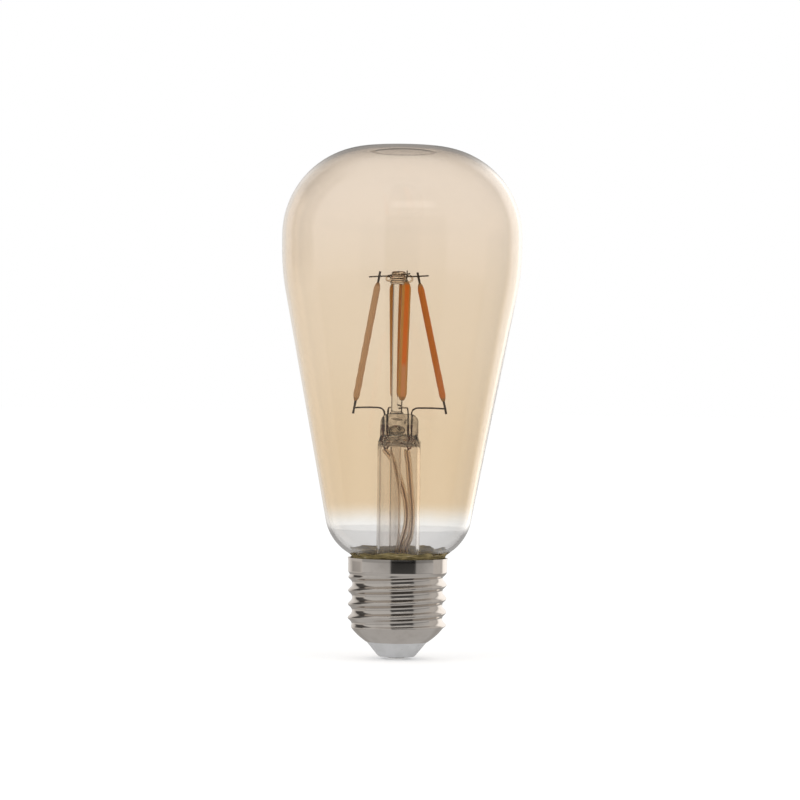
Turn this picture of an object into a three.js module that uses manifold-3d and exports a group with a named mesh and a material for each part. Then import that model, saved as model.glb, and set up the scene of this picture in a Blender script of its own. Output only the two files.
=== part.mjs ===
// Smart filament light bulb: an ST64 amber globe on an E27 screw cap, as an assembly of separate pieces.
// Millimetres, +Z up. The lamp stands cap down, and the origin is the centre of the cap's bottom contact.
import * as THREE from "three";
import { mergeVertices } from "three/addons/utils/BufferGeometryUtils.js";
import Module from "manifold-3d";

const wasm = await Module();
wasm.setup();

// ---------------------------------------------------------------- driving dimensions: the screw cap
const contactRadius = 2.4;
const contactFaceRadius = 1.7;
const contactProud = 0.4;
const contactShankRadius = 1.1;
const contactShankHeight = 3.4;
const insulatorFootRadius = 5.1;
const insulatorHeight = 4.0;
const insulatorFlangeHeight = 1.05;
const insulatorFlangeReach = 0.75;
const insulatorRecessRadius = 6.4;
const insulatorFloor = 2.4;
const threadMajorRadius = 13.15;
const threadDepth = 1.1;
const threadPitch = 3.629;
const threadTurns = 3.6;
const threadCrestLead = 0.15; // height of the first crest at +X above the thread's foot
const shellWall = 0.3;
const shellMouthRadius = 8.3;
const shellBowlHeight = 4.3;
const rimStep = 0.05; // how far the plain rim stands past the thread's crests
const rimHeight = 5.0;

// ---------------------------------------------------------------- driving dimensions: the glass
const globeRadius = 32;
const globeHeight = 109.85; // from the cap's rim to the crown
const glassWall = 0.8;
const globeShares = [5.9, 0.745, 2.115]; // radii of the crown, shoulder and belly, as shares of the globe's own
const bellyBand = 3; // the upright band at the widest level
const bowlRadius = 13.0; // the round turn between the straight taper and the neck
const bowlTurn = 62.5; // degrees that the glass turns through, from upright, between the neck and the bowl
const neckFilletRadius = 2.5;
const neckFilletDrop = 1.4; // from the cap's rim down to the fillet's centre
const neckClearance = 0.5;
const neckDepth = 6.4; // how far the neck reaches down inside the cap
const cementDepth = 4.0;
const cementBead = 0.35;

// ---------------------------------------------------------------- driving dimensions: the glass stem
const stemRadius = 5.75;
const stemWall = 0.8;
const stemHeight = 30.6; // from the cap's rim to the top of the round tube
const flareHeight = 9.2;
const flareRimLift = 0.9;
const pressShoulder = 0.7; // how much narrower the pinched press is than the tube, each side
const pressHeight = 7.8;
const pressHalfThickness = 2.3;
const pressShoulderHeight = 2.4;
const pressCornerRadius = 1.8;
const pressCeiling = 0.7; // glass between the press and the hollow tube below it
const exhaustRadius = 1.45;
const exhaustWall = 0.35;
const exhaustTipHeight = 16.6;
const exhaustPlace = [-0.9, -1.7];
const blowHoleRadius = 0.9;
const blowHoleRise = 4.0; // above the top of the round tube
const rodRadius = 1.6;
const rodSocket = 1.6;
const rodOffset = -0.78;
const buttonRadius = 2.35;
const buttonHeight = 3.4;
const buttonDrop = 0.6; // how far its middle is under the cross wires
const buttonGroove = 0.45;

// ---------------------------------------------------------------- driving dimensions: wires and filaments
const wireRadius = 0.23;
const crossWireRadius = 0.19;
const crossWireOverhang = 2.75;
const crossWireStep = 0.45; // the front wire passes this far over the side wire
const dumetRadius = 0.28;
const dumetLength = 2.4;
const dumetRise = 2.6; // above the top of the round tube
const leftWireInset = 1.05; // from the press's edge
const rightWireInset = 1.9;
const wirePairSpacing = 0.9;
const wirePairDepth = 0.6;
const wireHoop = 1.6; // how far the lead wires rise over the press
const wireBend = 1.9;
const wireOverhang = 0.3;
const leadRadius = 0.25;
const sleeveRadius = 0.9;
const sleeveBore = 0.5;
const coatLength = 32.0;
const coatWidth = 1.75; // outwards from the rod
const coatThickness = 2.35; // along the ring that the filaments stand in
const coatTaper = 1.7;
const coatPinch = 0.38;
const stripWidth = 1.0;
const stripThickness = 0.4;
const stripInset = 1.2; // from the coat's end to the strip's end
const tabWidth = 0.75;
const tabThickness = 0.24;
const tabReach = 1.85; // from the coat's end to the wire it is welded to
const tabOverhang = { top: 1.2, foot: 1.65 };
const filamentTopRadius = 5.2;
const filamentFootRadius = 12.1;

// ---------------------------------------------------------------- driving dimensions: the driver
const boardClearance = 1.2;
const boardThickness = 1.0;
const boardRise = 2.8; // over the foot of the thread
const capacitorRadius = 3.1;
const chokeRadius = 2.4;
const chokeFlange = 0.7;
const resistorRadius = 1.1;
const resistorLength = 5.6;
const partStandoff = 0.15; // between the board and what is mounted on it
const radioBoard = [10, 0.8, 5.2];
const radioShield = [6.4, 1.4, 3.8];
const rectifierSize = [4.7, 3.9, 2.3];
const chipSize = [4.9, 3.9, 1.5];
const antennaRadius = 0.22;
const antennaReach = 10;
const mainsWireRadius = 0.28;

// ---------------------------------------------------------------- clearances and mesh fineness
const seatGap = 0.05;
const sealGap = 0.2;
const holeGap = 0.1;
const globeSegments = 40;
const capSegments = 30;
const stemSegments = 24;
const smallSegments = 16;
const wireSides = 6;
const rowsPerPitch = 6;
const overcut = 1; // how far a cutter runs past the face it opens
const mergeDistance = 1e-4;

// ---------------------------------------------------------------- heights and radii worked out from them
const shellFoot = contactProud + insulatorHeight;
const threadFoot = shellFoot + shellBowlHeight;
const threadTop = threadFoot + threadTurns * threadPitch;
const rimTop = threadTop + rimHeight;
const threadMinorRadius = threadMajorRadius - threadDepth;
const threadMeanRadius = (threadMajorRadius + threadMinorRadius) / 2;
const threadAmplitude = threadDepth / 2;
const rimRadius = threadMajorRadius + rimStep;
const shellBore = threadMinorRadius - shellWall;
const shellBowlRadius = THREE.MathUtils.lerp(shellMouthRadius, threadMeanRadius, 0.72);
const insulatorShoulderRadius = shellMouthRadius - sealGap;
const crown = rimTop + globeHeight;
const neckRadius = shellBore - neckClearance;
const neckFoot = rimTop - neckDepth;
const stemTop = rimTop + stemHeight;
const stemBore = stemRadius - stemWall;
const stemCeiling = stemTop - pressCeiling;
const pressTop = stemTop + pressHeight;
const pressHalfWidth = stemRadius - pressShoulder;
const flareFoot = neckFoot + flareRimLift;
const flareRadius = neckRadius - glassWall - sealGap;
const wireLevel = pressTop + wireHoop;
const filamentSpan = coatLength + 2 * tabReach;
const filamentLean = filamentFootRadius - filamentTopRadius;
const crossWireLevel = wireLevel + Math.sqrt(filamentSpan ** 2 - filamentLean ** 2);
const frontWireLevel = crossWireLevel + crossWireStep;
const buttonMiddle = (crossWireLevel + frontWireLevel) / 2 - buttonDrop;
const buttonFoot = buttonMiddle - buttonHeight / 2;
const boardFoot = threadFoot + boardRise;
const boardTop = boardFoot + boardThickness;
const boardRadius = shellBore - boardClearance;
const tabOffset = wireRadius + tabThickness / 2 + seatGap;
const wireHoleRadius = Math.max(wireRadius, dumetRadius, leadRadius) + holeGap;

// ---------------------------------------------------------------- finishes
const finish = (color, roughness, metalness, opacity = 1) =>
  new THREE.MeshStandardMaterial({ color, roughness, metalness, opacity, transparent: opacity < 1 });
const amberGlass = finish(0xe3c9a4, 0.04, 0, 0.4);
const clearGlass = finish(0xdfe0de, 0.05, 0, 0.4);
const nickelPlate = finish(0xb9b4ae, 0.18, 1);
const whiteMoulding = finish(0xc9cac9, 0.45, 0);
const solderedTin = finish(0xa9a6a0, 0.35, 1);
const cementFinish = finish(0x7d745a, 0.7, 0);
const nickelWire = finish(0x5c5249, 0.35, 1);
const copperWire = finish(0x8a3b2a, 0.4, 1);
const sleeveFinish = finish(0xb78d6c, 0.6, 0);
const phosphor = finish(0xb9602a, 0.55, 0);
const ceramic = finish(0xe8e4da, 0.5, 0);
const boardGreen = finish(0x2f6b3e, 0.5, 0);
const blackEpoxy = finish(0x1d1d1f, 0.5, 0);
const aluminiumCan = finish(0xc4c6c8, 0.3, 1);
const ferrite = finish(0x3b3a3c, 0.7, 0);
const resistorBlue = finish(0x6f9fb5, 0.5, 0);

// ---------------------------------------------------------------- solids and outlines

/** Merges a closed geometry's shared vertices and turns its faces outwards. */
function facingOut(geometry) {
  geometry.deleteAttribute("normal");
  geometry.deleteAttribute("uv");
  const merged = mergeVertices(geometry, mergeDistance);
  const places = merged.attributes.position;
  const corners = merged.index.array;
  const [a, b, c] = [new THREE.Vector3(), new THREE.Vector3(), new THREE.Vector3()];
  let volume = 0;
  for (let i = 0; i < corners.length; i += 3) {
    a.fromBufferAttribute(places, corners[i]);
    b.fromBufferAttribute(places, corners[i + 1]);
    c.fromBufferAttribute(places, corners[i + 2]);
    volume += a.dot(b.cross(c));
  }
  if (volume < 0) {
    for (let i = 0; i < corners.length; i += 3) {
      [corners[i + 1], corners[i + 2]] = [corners[i + 2], corners[i + 1]];
    }
  }
  return merged;
}

/** A geometry as a manifold-3d solid. */
function solidOf(geometry) {
  const merged = facingOut(geometry);
  return new wasm.Manifold(
    new wasm.Mesh({
      numProp: 3,
      vertProperties: merged.attributes.position.array,
      triVerts: new Uint32Array(merged.index.array),
    }),
  );
}

/** A manifold-3d solid as a geometry. */
function geometryOf(solid) {
  const mesh = solid.getMesh();
  return new THREE.BufferGeometry()
    .setAttribute("position", new THREE.BufferAttribute(mesh.vertProperties, 3))
    .setIndex(new THREE.BufferAttribute(mesh.triVerts, 1));
}

/** One geometry with the others cut out of it. */
const cut = (body, ...tools) =>
  geometryOf(tools.reduce((rest, tool) => rest.subtract(solidOf(tool)), solidOf(body)));

/** Several geometries as one. */
const join = (...bodies) => geometryOf(bodies.map(solidOf).reduce((whole, next) => whole.add(next)));

/** Points of an arc about a centre, angles in radians. */
function arc(x, y, radius, from, to, steps) {
  return Array.from({ length: steps + 1 }, (_, i) => {
    const angle = from + ((to - from) * i) / steps;
    return new THREE.Vector2(x + radius * Math.cos(angle), y + radius * Math.sin(angle));
  });
}

/** Points of a cubic curve from a to d, pulled by b and c. */
const sweep = (a, b, c, d, steps) =>
  new THREE.CubicBezierCurve(...[a, b, c, d].map((p) => new THREE.Vector2(...p))).getPoints(steps);

/** Joins lists of points into one outline, leaving out repeated points. */
function outline(...lists) {
  const all = lists.flat().map((p) => (p.isVector2 ? p : new THREE.Vector2(...p)));
  return all.filter((p, i) => i === 0 || p.distanceTo(all[i - 1]) > mergeDistance * 10);
}

/** An outline moved sideways by a distance, to its right for a positive one. */
function offset(points, distance) {
  return points.map((p, i) => {
    const before = points[Math.max(i - 1, 0)];
    const after = points[Math.min(i + 1, points.length - 1)];
    const along = after.clone().sub(before).normalize();
    return new THREE.Vector2(p.x + along.y * distance, p.y - along.x * distance);
  });
}

/** A body turned about Z from points of radius and height. */
const turned = (points, segments) => facingOut(new THREE.LatheGeometry(points, segments).rotateX(Math.PI / 2));

/** A turned ring, whose outline closes on itself. */
const turnedRing = (points, segments) => turned([...points, points[0].clone()], segments);

/** An upright cylinder from one height to another. */
const post = (radius, foot, top, segments, [x, y] = [0, 0]) =>
  new THREE.CylinderGeometry(radius, radius, top - foot, segments)
    .rotateX(Math.PI / 2)
    .translate(x, y, (foot + top) / 2);

const circle = (radius, sides) => arc(0, 0, radius, 0, 2 * Math.PI, sides).slice(0, sides);

/** A round bar, or a pipe if it has a bore, along a curve. */
function bar(curve, radius, steps, bore = 0) {
  const section = new THREE.Shape(circle(radius, wireSides));
  if (bore) section.holes.push(new THREE.Path(circle(bore, wireSides)));
  return facingOut(new THREE.ExtrudeGeometry(section, { steps, bevelEnabled: false, extrudePath: curve }));
}

/** A path through points whose corners are rounded off over a distance. */
function bentPath(points, bend) {
  const path = new THREE.CurvePath();
  let last = points[0];
  for (let i = 1; i < points.length - 1; i += 1) {
    const into = points[i].clone().sub(points[i - 1]).normalize();
    const out = points[i + 1].clone().sub(points[i]).normalize();
    const start = points[i].clone().addScaledVector(into, -bend);
    const end = points[i].clone().addScaledVector(out, bend);
    path.add(new THREE.LineCurve3(last, start));
    path.add(new THREE.QuadraticBezierCurve3(start, points[i], end));
    last = end;
  }
  path.add(new THREE.LineCurve3(last, points[points.length - 1]));
  return path;
}

/** Part of another curve, between two shares of its length. */
class Stretch extends THREE.Curve {
  constructor(curve, from, to) {
    super();
    Object.assign(this, { curve, from, to });
  }
  getPoint(t, target = new THREE.Vector3()) {
    return this.curve.getPointAt(this.from + (this.to - this.from) * t, target);
  }
}

const point = (x, y, z) => new THREE.Vector3(x, y, z);
const smoothstep = (value, low, high) => THREE.MathUtils.smoothstep(value, low, high);

/** A named mesh of the assembly. */
function piece(name, geometry, material) {
  geometry.computeVertexNormals();
  const mesh = new THREE.Mesh(geometry, material);
  mesh.name = name;
  return mesh;
}

/** A box standing on a level, or hanging under it where its height is negative. */
const block = ([width, depth, height], x, y, level) =>
  new THREE.BoxGeometry(width, depth, Math.abs(height)).translate(x, y, level + height / 2);

// ---------------------------------------------------------------- screw cap

/** Radius that the rolled thread adds to the shell at a height and an angle about the axis. */
function threadWave(height, angle) {
  const rise = smoothstep(height, threadFoot - 1.1, threadFoot + 0.5);
  const runOut = 1 - smoothstep(height, threadTop - 0.3, threadTop + 0.9);
  const turns = (height - threadFoot - threadCrestLead) / threadPitch;
  return threadAmplitude * rise * runOut * Math.cos(2 * Math.PI * turns - angle);
}

/** The shell's outside, without its thread, from the mouth up to the rim. */
function shellOutline() {
  const bowl = new THREE.QuadraticBezierCurve(
    new THREE.Vector2(shellMouthRadius, shellFoot),
    new THREE.Vector2(shellBowlRadius, shellFoot + shellBowlHeight / 2),
    new THREE.Vector2(threadMeanRadius, threadFoot),
  ).getPoints(5);
  const rows = Math.round(threadTurns * rowsPerPitch);
  const thread = Array.from({ length: rows + 1 }, (_, i) => [
    threadMeanRadius,
    threadFoot + ((threadTop - threadFoot) * i) / rows,
  ]);
  const blend = rimHeight / 2;
  const waist = [1, 2, 3].map((i) => [
    threadMeanRadius + (rimRadius - threadMeanRadius) * smoothstep(i, 0, 3),
    threadTop + (blend * i) / 3,
  ]);
  return outline(bowl, thread, waist, [[rimRadius, rimTop]]);
}

function screwShell() {
  const outside = shellOutline();
  const inside = offset(outside, -shellWall).reverse();
  inside[0].y = rimTop;
  const geometry = turnedRing(outline(outside, inside), capSegments);
  const places = geometry.attributes.position;
  for (let i = 0; i < places.count; i += 1) {
    const [x, y, z] = [places.getX(i), places.getY(i), places.getZ(i)];
    const grow = 1 + threadWave(z, Math.atan2(y, x)) / Math.hypot(x, y);
    places.setXYZ(i, x * grow, y * grow, z);
  }
  return geometry;
}

function insulator() {
  const foot = contactProud + seatGap;
  const flangeFoot = shellFoot + shellWall + contactProud + sealGap;
  const flangeTop = flangeFoot + insulatorFlangeHeight;
  const flangeRadius = insulatorShoulderRadius + insulatorFlangeReach;
  const bore = contactShankRadius + holeGap;
  return turnedRing(
    outline([
      [bore, foot],
      [insulatorFootRadius - 0.7, foot],
      [insulatorFootRadius, foot + 0.35],
      [insulatorShoulderRadius, shellFoot],
      [insulatorShoulderRadius, flangeFoot],
      [flangeRadius, flangeFoot],
      [flangeRadius, flangeTop],
      [insulatorRecessRadius, flangeTop],
      [insulatorRecessRadius, foot + insulatorFloor],
      [bore, foot + insulatorFloor],
    ]),
    capSegments,
  );
}

function centreContact() {
  return turned(
    outline([
      [0, 0],
      [contactFaceRadius, 0],
      [contactRadius, contactProud * 0.6],
      [contactRadius, contactProud],
      [contactShankRadius, contactProud],
      [contactShankRadius, contactShankHeight],
      [0, contactShankHeight],
    ]),
    smallSegments,
  );
}

const cap = new THREE.Group();
cap.add(piece("screw_shell", screwShell(), nickelPlate));
cap.add(piece("insulator", insulator(), whiteMoulding));
cap.add(piece("centre_contact", centreContact(), solderedTin));

// ---------------------------------------------------------------- globe and cement

/** Centres, radii and angles of the tangent arcs down the globe's side. */
function globeArcs() {
  const bowlAngle = THREE.MathUtils.degToRad(bowlTurn);
  const [crownRadius, shoulderRadius, bellyRadius] = globeShares.map((share) => share * globeRadius);
  const reach = neckFilletRadius + bowlRadius;
  const fillet = new THREE.Vector2(neckRadius + neckFilletRadius, rimTop - neckFilletDrop);
  const towardsBowl = new THREE.Vector2(-Math.cos(bowlAngle), Math.sin(bowlAngle));
  const bowl = fillet.clone().addScaledVector(towardsBowl, reach);
  const crownTilt = Math.asin((globeRadius - shoulderRadius) / (crownRadius - shoulderRadius));
  const shoulderLevel = crown - crownRadius + (crownRadius - shoulderRadius) * Math.cos(crownTilt);
  const shoulder = new THREE.Vector2(globeRadius - shoulderRadius, shoulderLevel);
  const belly = new THREE.Vector2(globeRadius - bellyRadius, shoulderLevel - bellyBand);
  const apart = belly.clone().sub(bowl);
  const taper = Math.acos((bowlRadius - bellyRadius) / apart.length()) - Math.atan2(apart.y, apart.x);
  return { fillet, bowl, bowlAngle, taper, belly, bellyRadius, shoulder, shoulderRadius, crownTilt, crownRadius };
}

/** The neck's outside, from its foot up to the foot of the straight taper. */
function neckOutline(foot) {
  const { fillet, bowl, bowlAngle, taper } = globeArcs();
  return outline(
    [[neckRadius, foot]],
    arc(fillet.x, fillet.y, neckFilletRadius, Math.PI, Math.PI - bowlAngle, 4),
    arc(bowl.x, bowl.y, bowlRadius, -bowlAngle, -taper, 6),
  );
}

/** The globe's outside, from the neck's foot up to the crown on the axis. */
function globeOutline() {
  const { crownRadius, shoulderRadius, bellyRadius, crownTilt, shoulder, belly, taper } = globeArcs();
  const upright = Math.PI / 2;
  return outline(
    neckOutline(neckFoot),
    arc(belly.x, belly.y, bellyRadius, -taper, 0, 3),
    arc(shoulder.x, shoulder.y, shoulderRadius, 0, upright - crownTilt, 8),
    arc(0, crown - crownRadius, crownRadius, upright - crownTilt, upright, 2),
  );
}

function globe() {
  const outside = globeOutline();
  const inside = offset(outside, -glassWall).reverse();
  inside[0].set(0, crown - glassWall);
  inside[inside.length - 1].y = neckFoot;
  return turned(outline(outside.reverse(), inside.reverse()), globeSegments);
}

function basingCement() {
  const beadTop = rimTop + seatGap + 2 * cementBead;
  const wet = offset(
    neckOutline(rimTop - cementDepth).filter((p) => p.y < beadTop),
    sealGap / 2,
  );
  const outer = rimRadius - shellWall - seatGap;
  return turnedRing(
    outline(wet, [
      [rimRadius + cementBead, rimTop + seatGap + cementBead],
      [rimRadius, rimTop + seatGap],
      [outer, rimTop + seatGap],
      [outer, rimTop - rimHeight / 2],
      [shellBore - holeGap, rimTop - cementDepth],
    ]),
    capSegments,
  );
}

const glassware = new THREE.Group();
glassware.add(piece("glass_envelope", globe(), amberGlass));
glassware.add(piece("basing_cement", basingCement(), cementFinish));

// ---------------------------------------------------------------- glass stem

/** Where each lead wire passes up through the press. */
const pressPlaces = {
  left: [-(pressHalfWidth - leftWireInset), 0],
  back: [-(pressHalfWidth - leftWireInset - wirePairSpacing), wirePairDepth],
  front: [pressHalfWidth - rightWireInset - wirePairSpacing, -wirePairDepth],
  right: [pressHalfWidth - rightWireInset, 0],
};

/** One flank cut away beside the press, so that the tube's top is pinched flat. */
function pressFlank(side) {
  const far = stemRadius + overcut;
  const flank = new THREE.Shape(
    [
      [pressHalfThickness, pressTop + overcut],
      [pressHalfThickness, stemTop + pressShoulderHeight],
      [far, stemTop - overcut / 2],
      [far, pressTop + overcut],
    ].map(([across, height]) => new THREE.Vector2(side * across, height)),
  );
  const width = 2 * far;
  return new THREE.ExtrudeGeometry(flank, { depth: width, bevelEnabled: false })
    .rotateX(Math.PI / 2)
    .rotateZ(Math.PI / 2)
    .translate(-width / 2, 0, 0);
}

function stemTube() {
  const flareTop = flareFoot + flareHeight;
  const cornerPlace = new THREE.Vector2(pressHalfWidth, pressTop).subScalar(pressCornerRadius);
  const outside = outline(
    sweep(
      [flareRadius, flareFoot],
      [stemRadius + 0.9, flareFoot + 2.2],
      [stemRadius, flareTop - 3],
      [stemRadius, flareTop],
      6,
    ),
    [[stemRadius, stemTop]],
    [[pressHalfWidth, stemTop + pressShoulderHeight]],
    arc(cornerPlace.x, cornerPlace.y, pressCornerRadius, 0, Math.PI / 2, 4),
    [[0, pressTop]],
  );
  const lower = outside.filter((p) => p.y <= flareTop);
  const inside = outline(
    offset(lower, -stemWall),
    [[stemBore, stemCeiling - 1]],
    [[stemBore - 0.6, stemCeiling]],
    [[0, stemCeiling]],
  );
  inside[0].y = flareFoot;
  const blank = turned(outline([...outside].reverse(), inside), stemSegments);
  const holeFoot = stemCeiling - overcut;
  const wireHoles = Object.values(pressPlaces).map((place) =>
    post(wireHoleRadius, holeFoot, pressTop + overcut, wireSides, place),
  );
  const blowHoleLength = 4 * pressHalfThickness;
  const blowHole = new THREE.CylinderGeometry(blowHoleRadius, blowHoleRadius, blowHoleLength, smallSegments);
  return cut(
    blank,
    pressFlank(1),
    pressFlank(-1),
    ...wireHoles,
    post(rodRadius + holeGap, pressTop - rodSocket, pressTop + overcut, smallSegments, [rodOffset, 0]),
    post(exhaustRadius - exhaustWall, holeFoot, stemTop + blowHoleRise, wireSides, exhaustPlace),
    blowHole.translate(exhaustPlace[0], 0, stemTop + blowHoleRise),
  );
}

function exhaustTube() {
  const top = stemCeiling - seatGap;
  const bore = exhaustRadius - exhaustWall;
  return turned(
    outline(
      [[0, exhaustTipHeight]],
      [[exhaustRadius * 0.45, exhaustTipHeight + 0.25]],
      [[exhaustRadius, exhaustTipHeight + 2]],
      [[exhaustRadius, top]],
      [[bore, top]],
      [[bore, exhaustTipHeight + 2.4]],
      [[0, exhaustTipHeight + 1.4]],
    ),
    smallSegments,
  ).translate(...exhaustPlace, 0);
}

function supportRod() {
  return post(rodRadius, pressTop - rodSocket + seatGap, buttonFoot - seatGap, smallSegments, [rodOffset, 0]);
}

/** The ringed bead on the rod's top that holds the two cross wires. */
function wireButton() {
  const ring = buttonHeight / 3;
  const rings = [0, 1, 2].flatMap((i) => [
    [buttonRadius - buttonGroove, buttonFoot + ring * i],
    [buttonRadius, buttonFoot + ring * (i + 0.35)],
    [buttonRadius, buttonFoot + ring * (i + 0.65)],
  ]);
  const top = buttonFoot + buttonHeight;
  const bead = turned(
    outline([[0, buttonFoot]], rings, [[buttonRadius - buttonGroove, top]], [[0, top]]),
    smallSegments,
  ).translate(rodOffset, 0, 0);
  const holeRadius = crossWireRadius + holeGap;
  const holes = [
    [crossWireLevel, crossWireDirections.side],
    [frontWireLevel, crossWireDirections.front],
  ].map(([level, angle]) =>
    new THREE.CylinderGeometry(holeRadius, holeRadius, 4 * buttonRadius, wireSides)
      .rotateZ(Math.PI / 2)
      .rotateZ(angle)
      .translate(rodOffset, 0, level),
  );
  return cut(bead, ...holes);
}

// ---------------------------------------------------------------- filaments: where each one hangs

/** Angles about the rod of the cross wires, and about the axis of each filament's foot. */
const crossWireDirections = { side: 0, front: THREE.MathUtils.degToRad(-70) };
const footDirections = { side: 0, front: THREE.MathUtils.degToRad(-89.5), back: THREE.MathUtils.degToRad(98) };
const { side: sideWire, front: frontWire } = crossWireDirections;
const filamentPlaces = {
  left: { wire: sideWire + Math.PI, level: crossWireLevel, foot: footDirections.side + Math.PI },
  right: { wire: sideWire, level: crossWireLevel, foot: footDirections.side },
  front: { wire: frontWire, level: frontWireLevel, foot: footDirections.front },
  back: { wire: frontWire + Math.PI, level: frontWireLevel, foot: footDirections.back },
};

const stem = new THREE.Group();
stem.add(piece("stem_tube", stemTube(), clearGlass));
stem.add(piece("exhaust_tube", exhaustTube(), clearGlass));
stem.add(piece("support_rod", supportRod(), clearGlass));
stem.add(piece("wire_button", wireButton(), clearGlass));

/** The places where a filament's upper and lower tabs meet their wires. */
function weldPoints({ wire, level, foot }) {
  return {
    top: point(rodOffset + filamentTopRadius * Math.cos(wire), filamentTopRadius * Math.sin(wire), level),
    bottom: point(filamentFootRadius * Math.cos(foot), filamentFootRadius * Math.sin(foot), wireLevel),
  };
}

// ---------------------------------------------------------------- wires

/** A straight wire through the button, long enough to pass both of its filaments' tabs. */
function crossWire(level, angle) {
  const reach = filamentTopRadius + crossWireOverhang;
  const along = point(Math.cos(angle), Math.sin(angle), 0);
  const middle = point(rodOffset, 0, level);
  const ends = [middle.clone().addScaledVector(along, -reach), middle.clone().addScaledVector(along, reach)];
  return bar(new THREE.LineCurve3(...ends), crossWireRadius, 1);
}

/** A lead wire: up out of the press, over a bend and out to the weld under its filament. */
function leadWire(side) {
  const [x, y] = pressPlaces[side];
  const weld = weldPoints(filamentPlaces[side]).bottom;
  const corner = point(x, y, wireLevel);
  const out = weld.clone().sub(corner).normalize();
  const start = point(x, y, stemTop + dumetRise + dumetLength + seatGap);
  const path = bentPath([start, corner, weld.clone().addScaledVector(out, wireOverhang)], wireBend);
  return bar(path, wireRadius, 12);
}

function dumetSeal(side) {
  const foot = stemTop + dumetRise;
  return post(dumetRadius, foot, foot + dumetLength, wireSides, pressPlaces[side]);
}

/**
 * Routes of the two outer leads down the stem: how far below the tube's top, then across and back as shares of
 * the room that a sleeve has in the tube.
 */
const leadRoutes = {
  left: [
    [1.6, -0.94, 0.1],
    [3.4, -0.6, 0.34],
    [6.6, -0.23, 0.44],
    [10.0, 0.1, 0.48],
    [14.0, 0.42, 0.55],
    [18.0, 0.58, 0.56],
    [21.6, 0.56, 0.54],
    [25.2, 0.36, 0.54],
    [28.0, 0.14, 0.56],
    [33.0, 0.02, 0.58],
    [38.6, 0.0, 0.6],
  ],
  right: [
    [1.6, 0.56, 0.0],
    [4.8, 0.63, 0.02],
    [9.4, 0.73, 0.03],
    [14.0, 0.84, 0.02],
    [18.0, 0.92, 0.02],
    [21.6, 0.92, 0.04],
    [24.8, 0.82, 0.08],
    [28.0, 0.56, 0.12],
    [33.0, 0.5, 0.14],
    [38.6, 0.54, 0.16],
  ],
};
const sleeveRoom = stemBore - sleeveRadius - seatGap;

/** The whole curve of an outer lead, from its seal in the press to its joint in the board. */
function leadCurve(side) {
  const [x, y] = pressPlaces[side];
  const route = leadRoutes[side].map(([drop, across, back]) =>
    point(across * sleeveRoom, back * sleeveRoom, stemTop - drop),
  );
  const last = route[route.length - 1];
  return new THREE.CatmullRomCurve3(
    [
      point(x, y, stemTop + dumetRise - seatGap),
      point(x, y, stemCeiling),
      ...route,
      point(last.x, last.y, boardTop + 1),
      point(last.x, last.y, boardFoot - 0.6),
    ],
    false,
    "centripetal",
  );
}

/** Shares of a lead's length between which its sleeve covers it. */
const sleeveShares = { from: 0.093, to: 0.855 };

/** An outer lead, forked at its top so that both wires of its side feed it. */
function outerLead(side, partner) {
  const main = bar(leadCurve(side), leadRadius, 30);
  const [x, y] = pressPlaces[partner];
  const [mainX, mainY] = pressPlaces[side];
  const joint = stemCeiling - 0.35;
  const fork = bentPath(
    [point(x, y, stemTop + dumetRise - seatGap), point(x, y, joint), point(mainX, mainY, joint)],
    leadRadius,
  );
  return join(main, bar(fork, leadRadius * 0.9, 6));
}

function leadSleeve(side) {
  return bar(new Stretch(leadCurve(side), sleeveShares.from, sleeveShares.to), sleeveRadius, 22, sleeveBore);
}

const wires = new THREE.Group();
wires.add(piece("cross_wire_side", crossWire(crossWireLevel, crossWireDirections.side), nickelWire));
wires.add(piece("cross_wire_front", crossWire(frontWireLevel, crossWireDirections.front), nickelWire));
for (const side of Object.keys(pressPlaces)) {
  wires.add(piece(`lead_wire_${side}`, leadWire(side), nickelWire));
  wires.add(piece(`dumet_seal_${side}`, dumetSeal(side), copperWire));
}
wires.add(piece("outer_lead_left", outerLead("left", "back"), copperWire));
wires.add(piece("outer_lead_right", outerLead("right", "front"), copperWire));
wires.add(piece("lead_sleeve_left", leadSleeve("left"), sleeveFinish));
wires.add(piece("lead_sleeve_right", leadSleeve("right"), sleeveFinish));

// ---------------------------------------------------------------- filaments: the pieces of one
// Each is built upright about its own middle: X across its width, Y through its thickness, Z along it.

/** The silicone coat with its tapered ends, hollow along its core for the strip and the tabs. */
function filamentCoat() {
  const [halfWidth, halfThickness] = [coatWidth / 2, coatThickness / 2];
  const section = new THREE.Shape(
    circle(1, 12).map((p) => {
      const squareness = 0.72;
      const across = Math.sign(p.x) * Math.abs(p.x) ** squareness;
      const through = Math.sign(p.y) * Math.abs(p.y) ** squareness;
      return new THREE.Vector2(halfWidth * across, halfThickness * through);
    }),
  );
  const body = new THREE.ExtrudeGeometry(section, {
    depth: coatLength - 2 * coatTaper,
    bevelThickness: coatTaper,
    bevelSize: coatPinch,
    bevelOffset: -coatPinch,
    bevelSegments: 2,
  }).translate(0, 0, coatTaper - coatLength / 2);
  const slotLength = coatLength + 2 * overcut;
  const slot = new THREE.BoxGeometry(stripWidth + holeGap, stripThickness + holeGap, slotLength);
  return cut(body, slot);
}

const filamentStrip = () => new THREE.BoxGeometry(stripWidth, stripThickness, coatLength - 2 * stripInset);

/** A metal tab, from the strip's end out past the wire that it is welded to. */
function filamentTab(end) {
  const inner = coatLength / 2 - stripInset + seatGap;
  const outer = coatLength / 2 + tabReach + tabOverhang[end];
  const middle = ((end === "top" ? 1 : -1) * (inner + outer)) / 2;
  return new THREE.BoxGeometry(tabWidth, tabThickness, outer - inner).translate(0, 0, middle);
}

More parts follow.
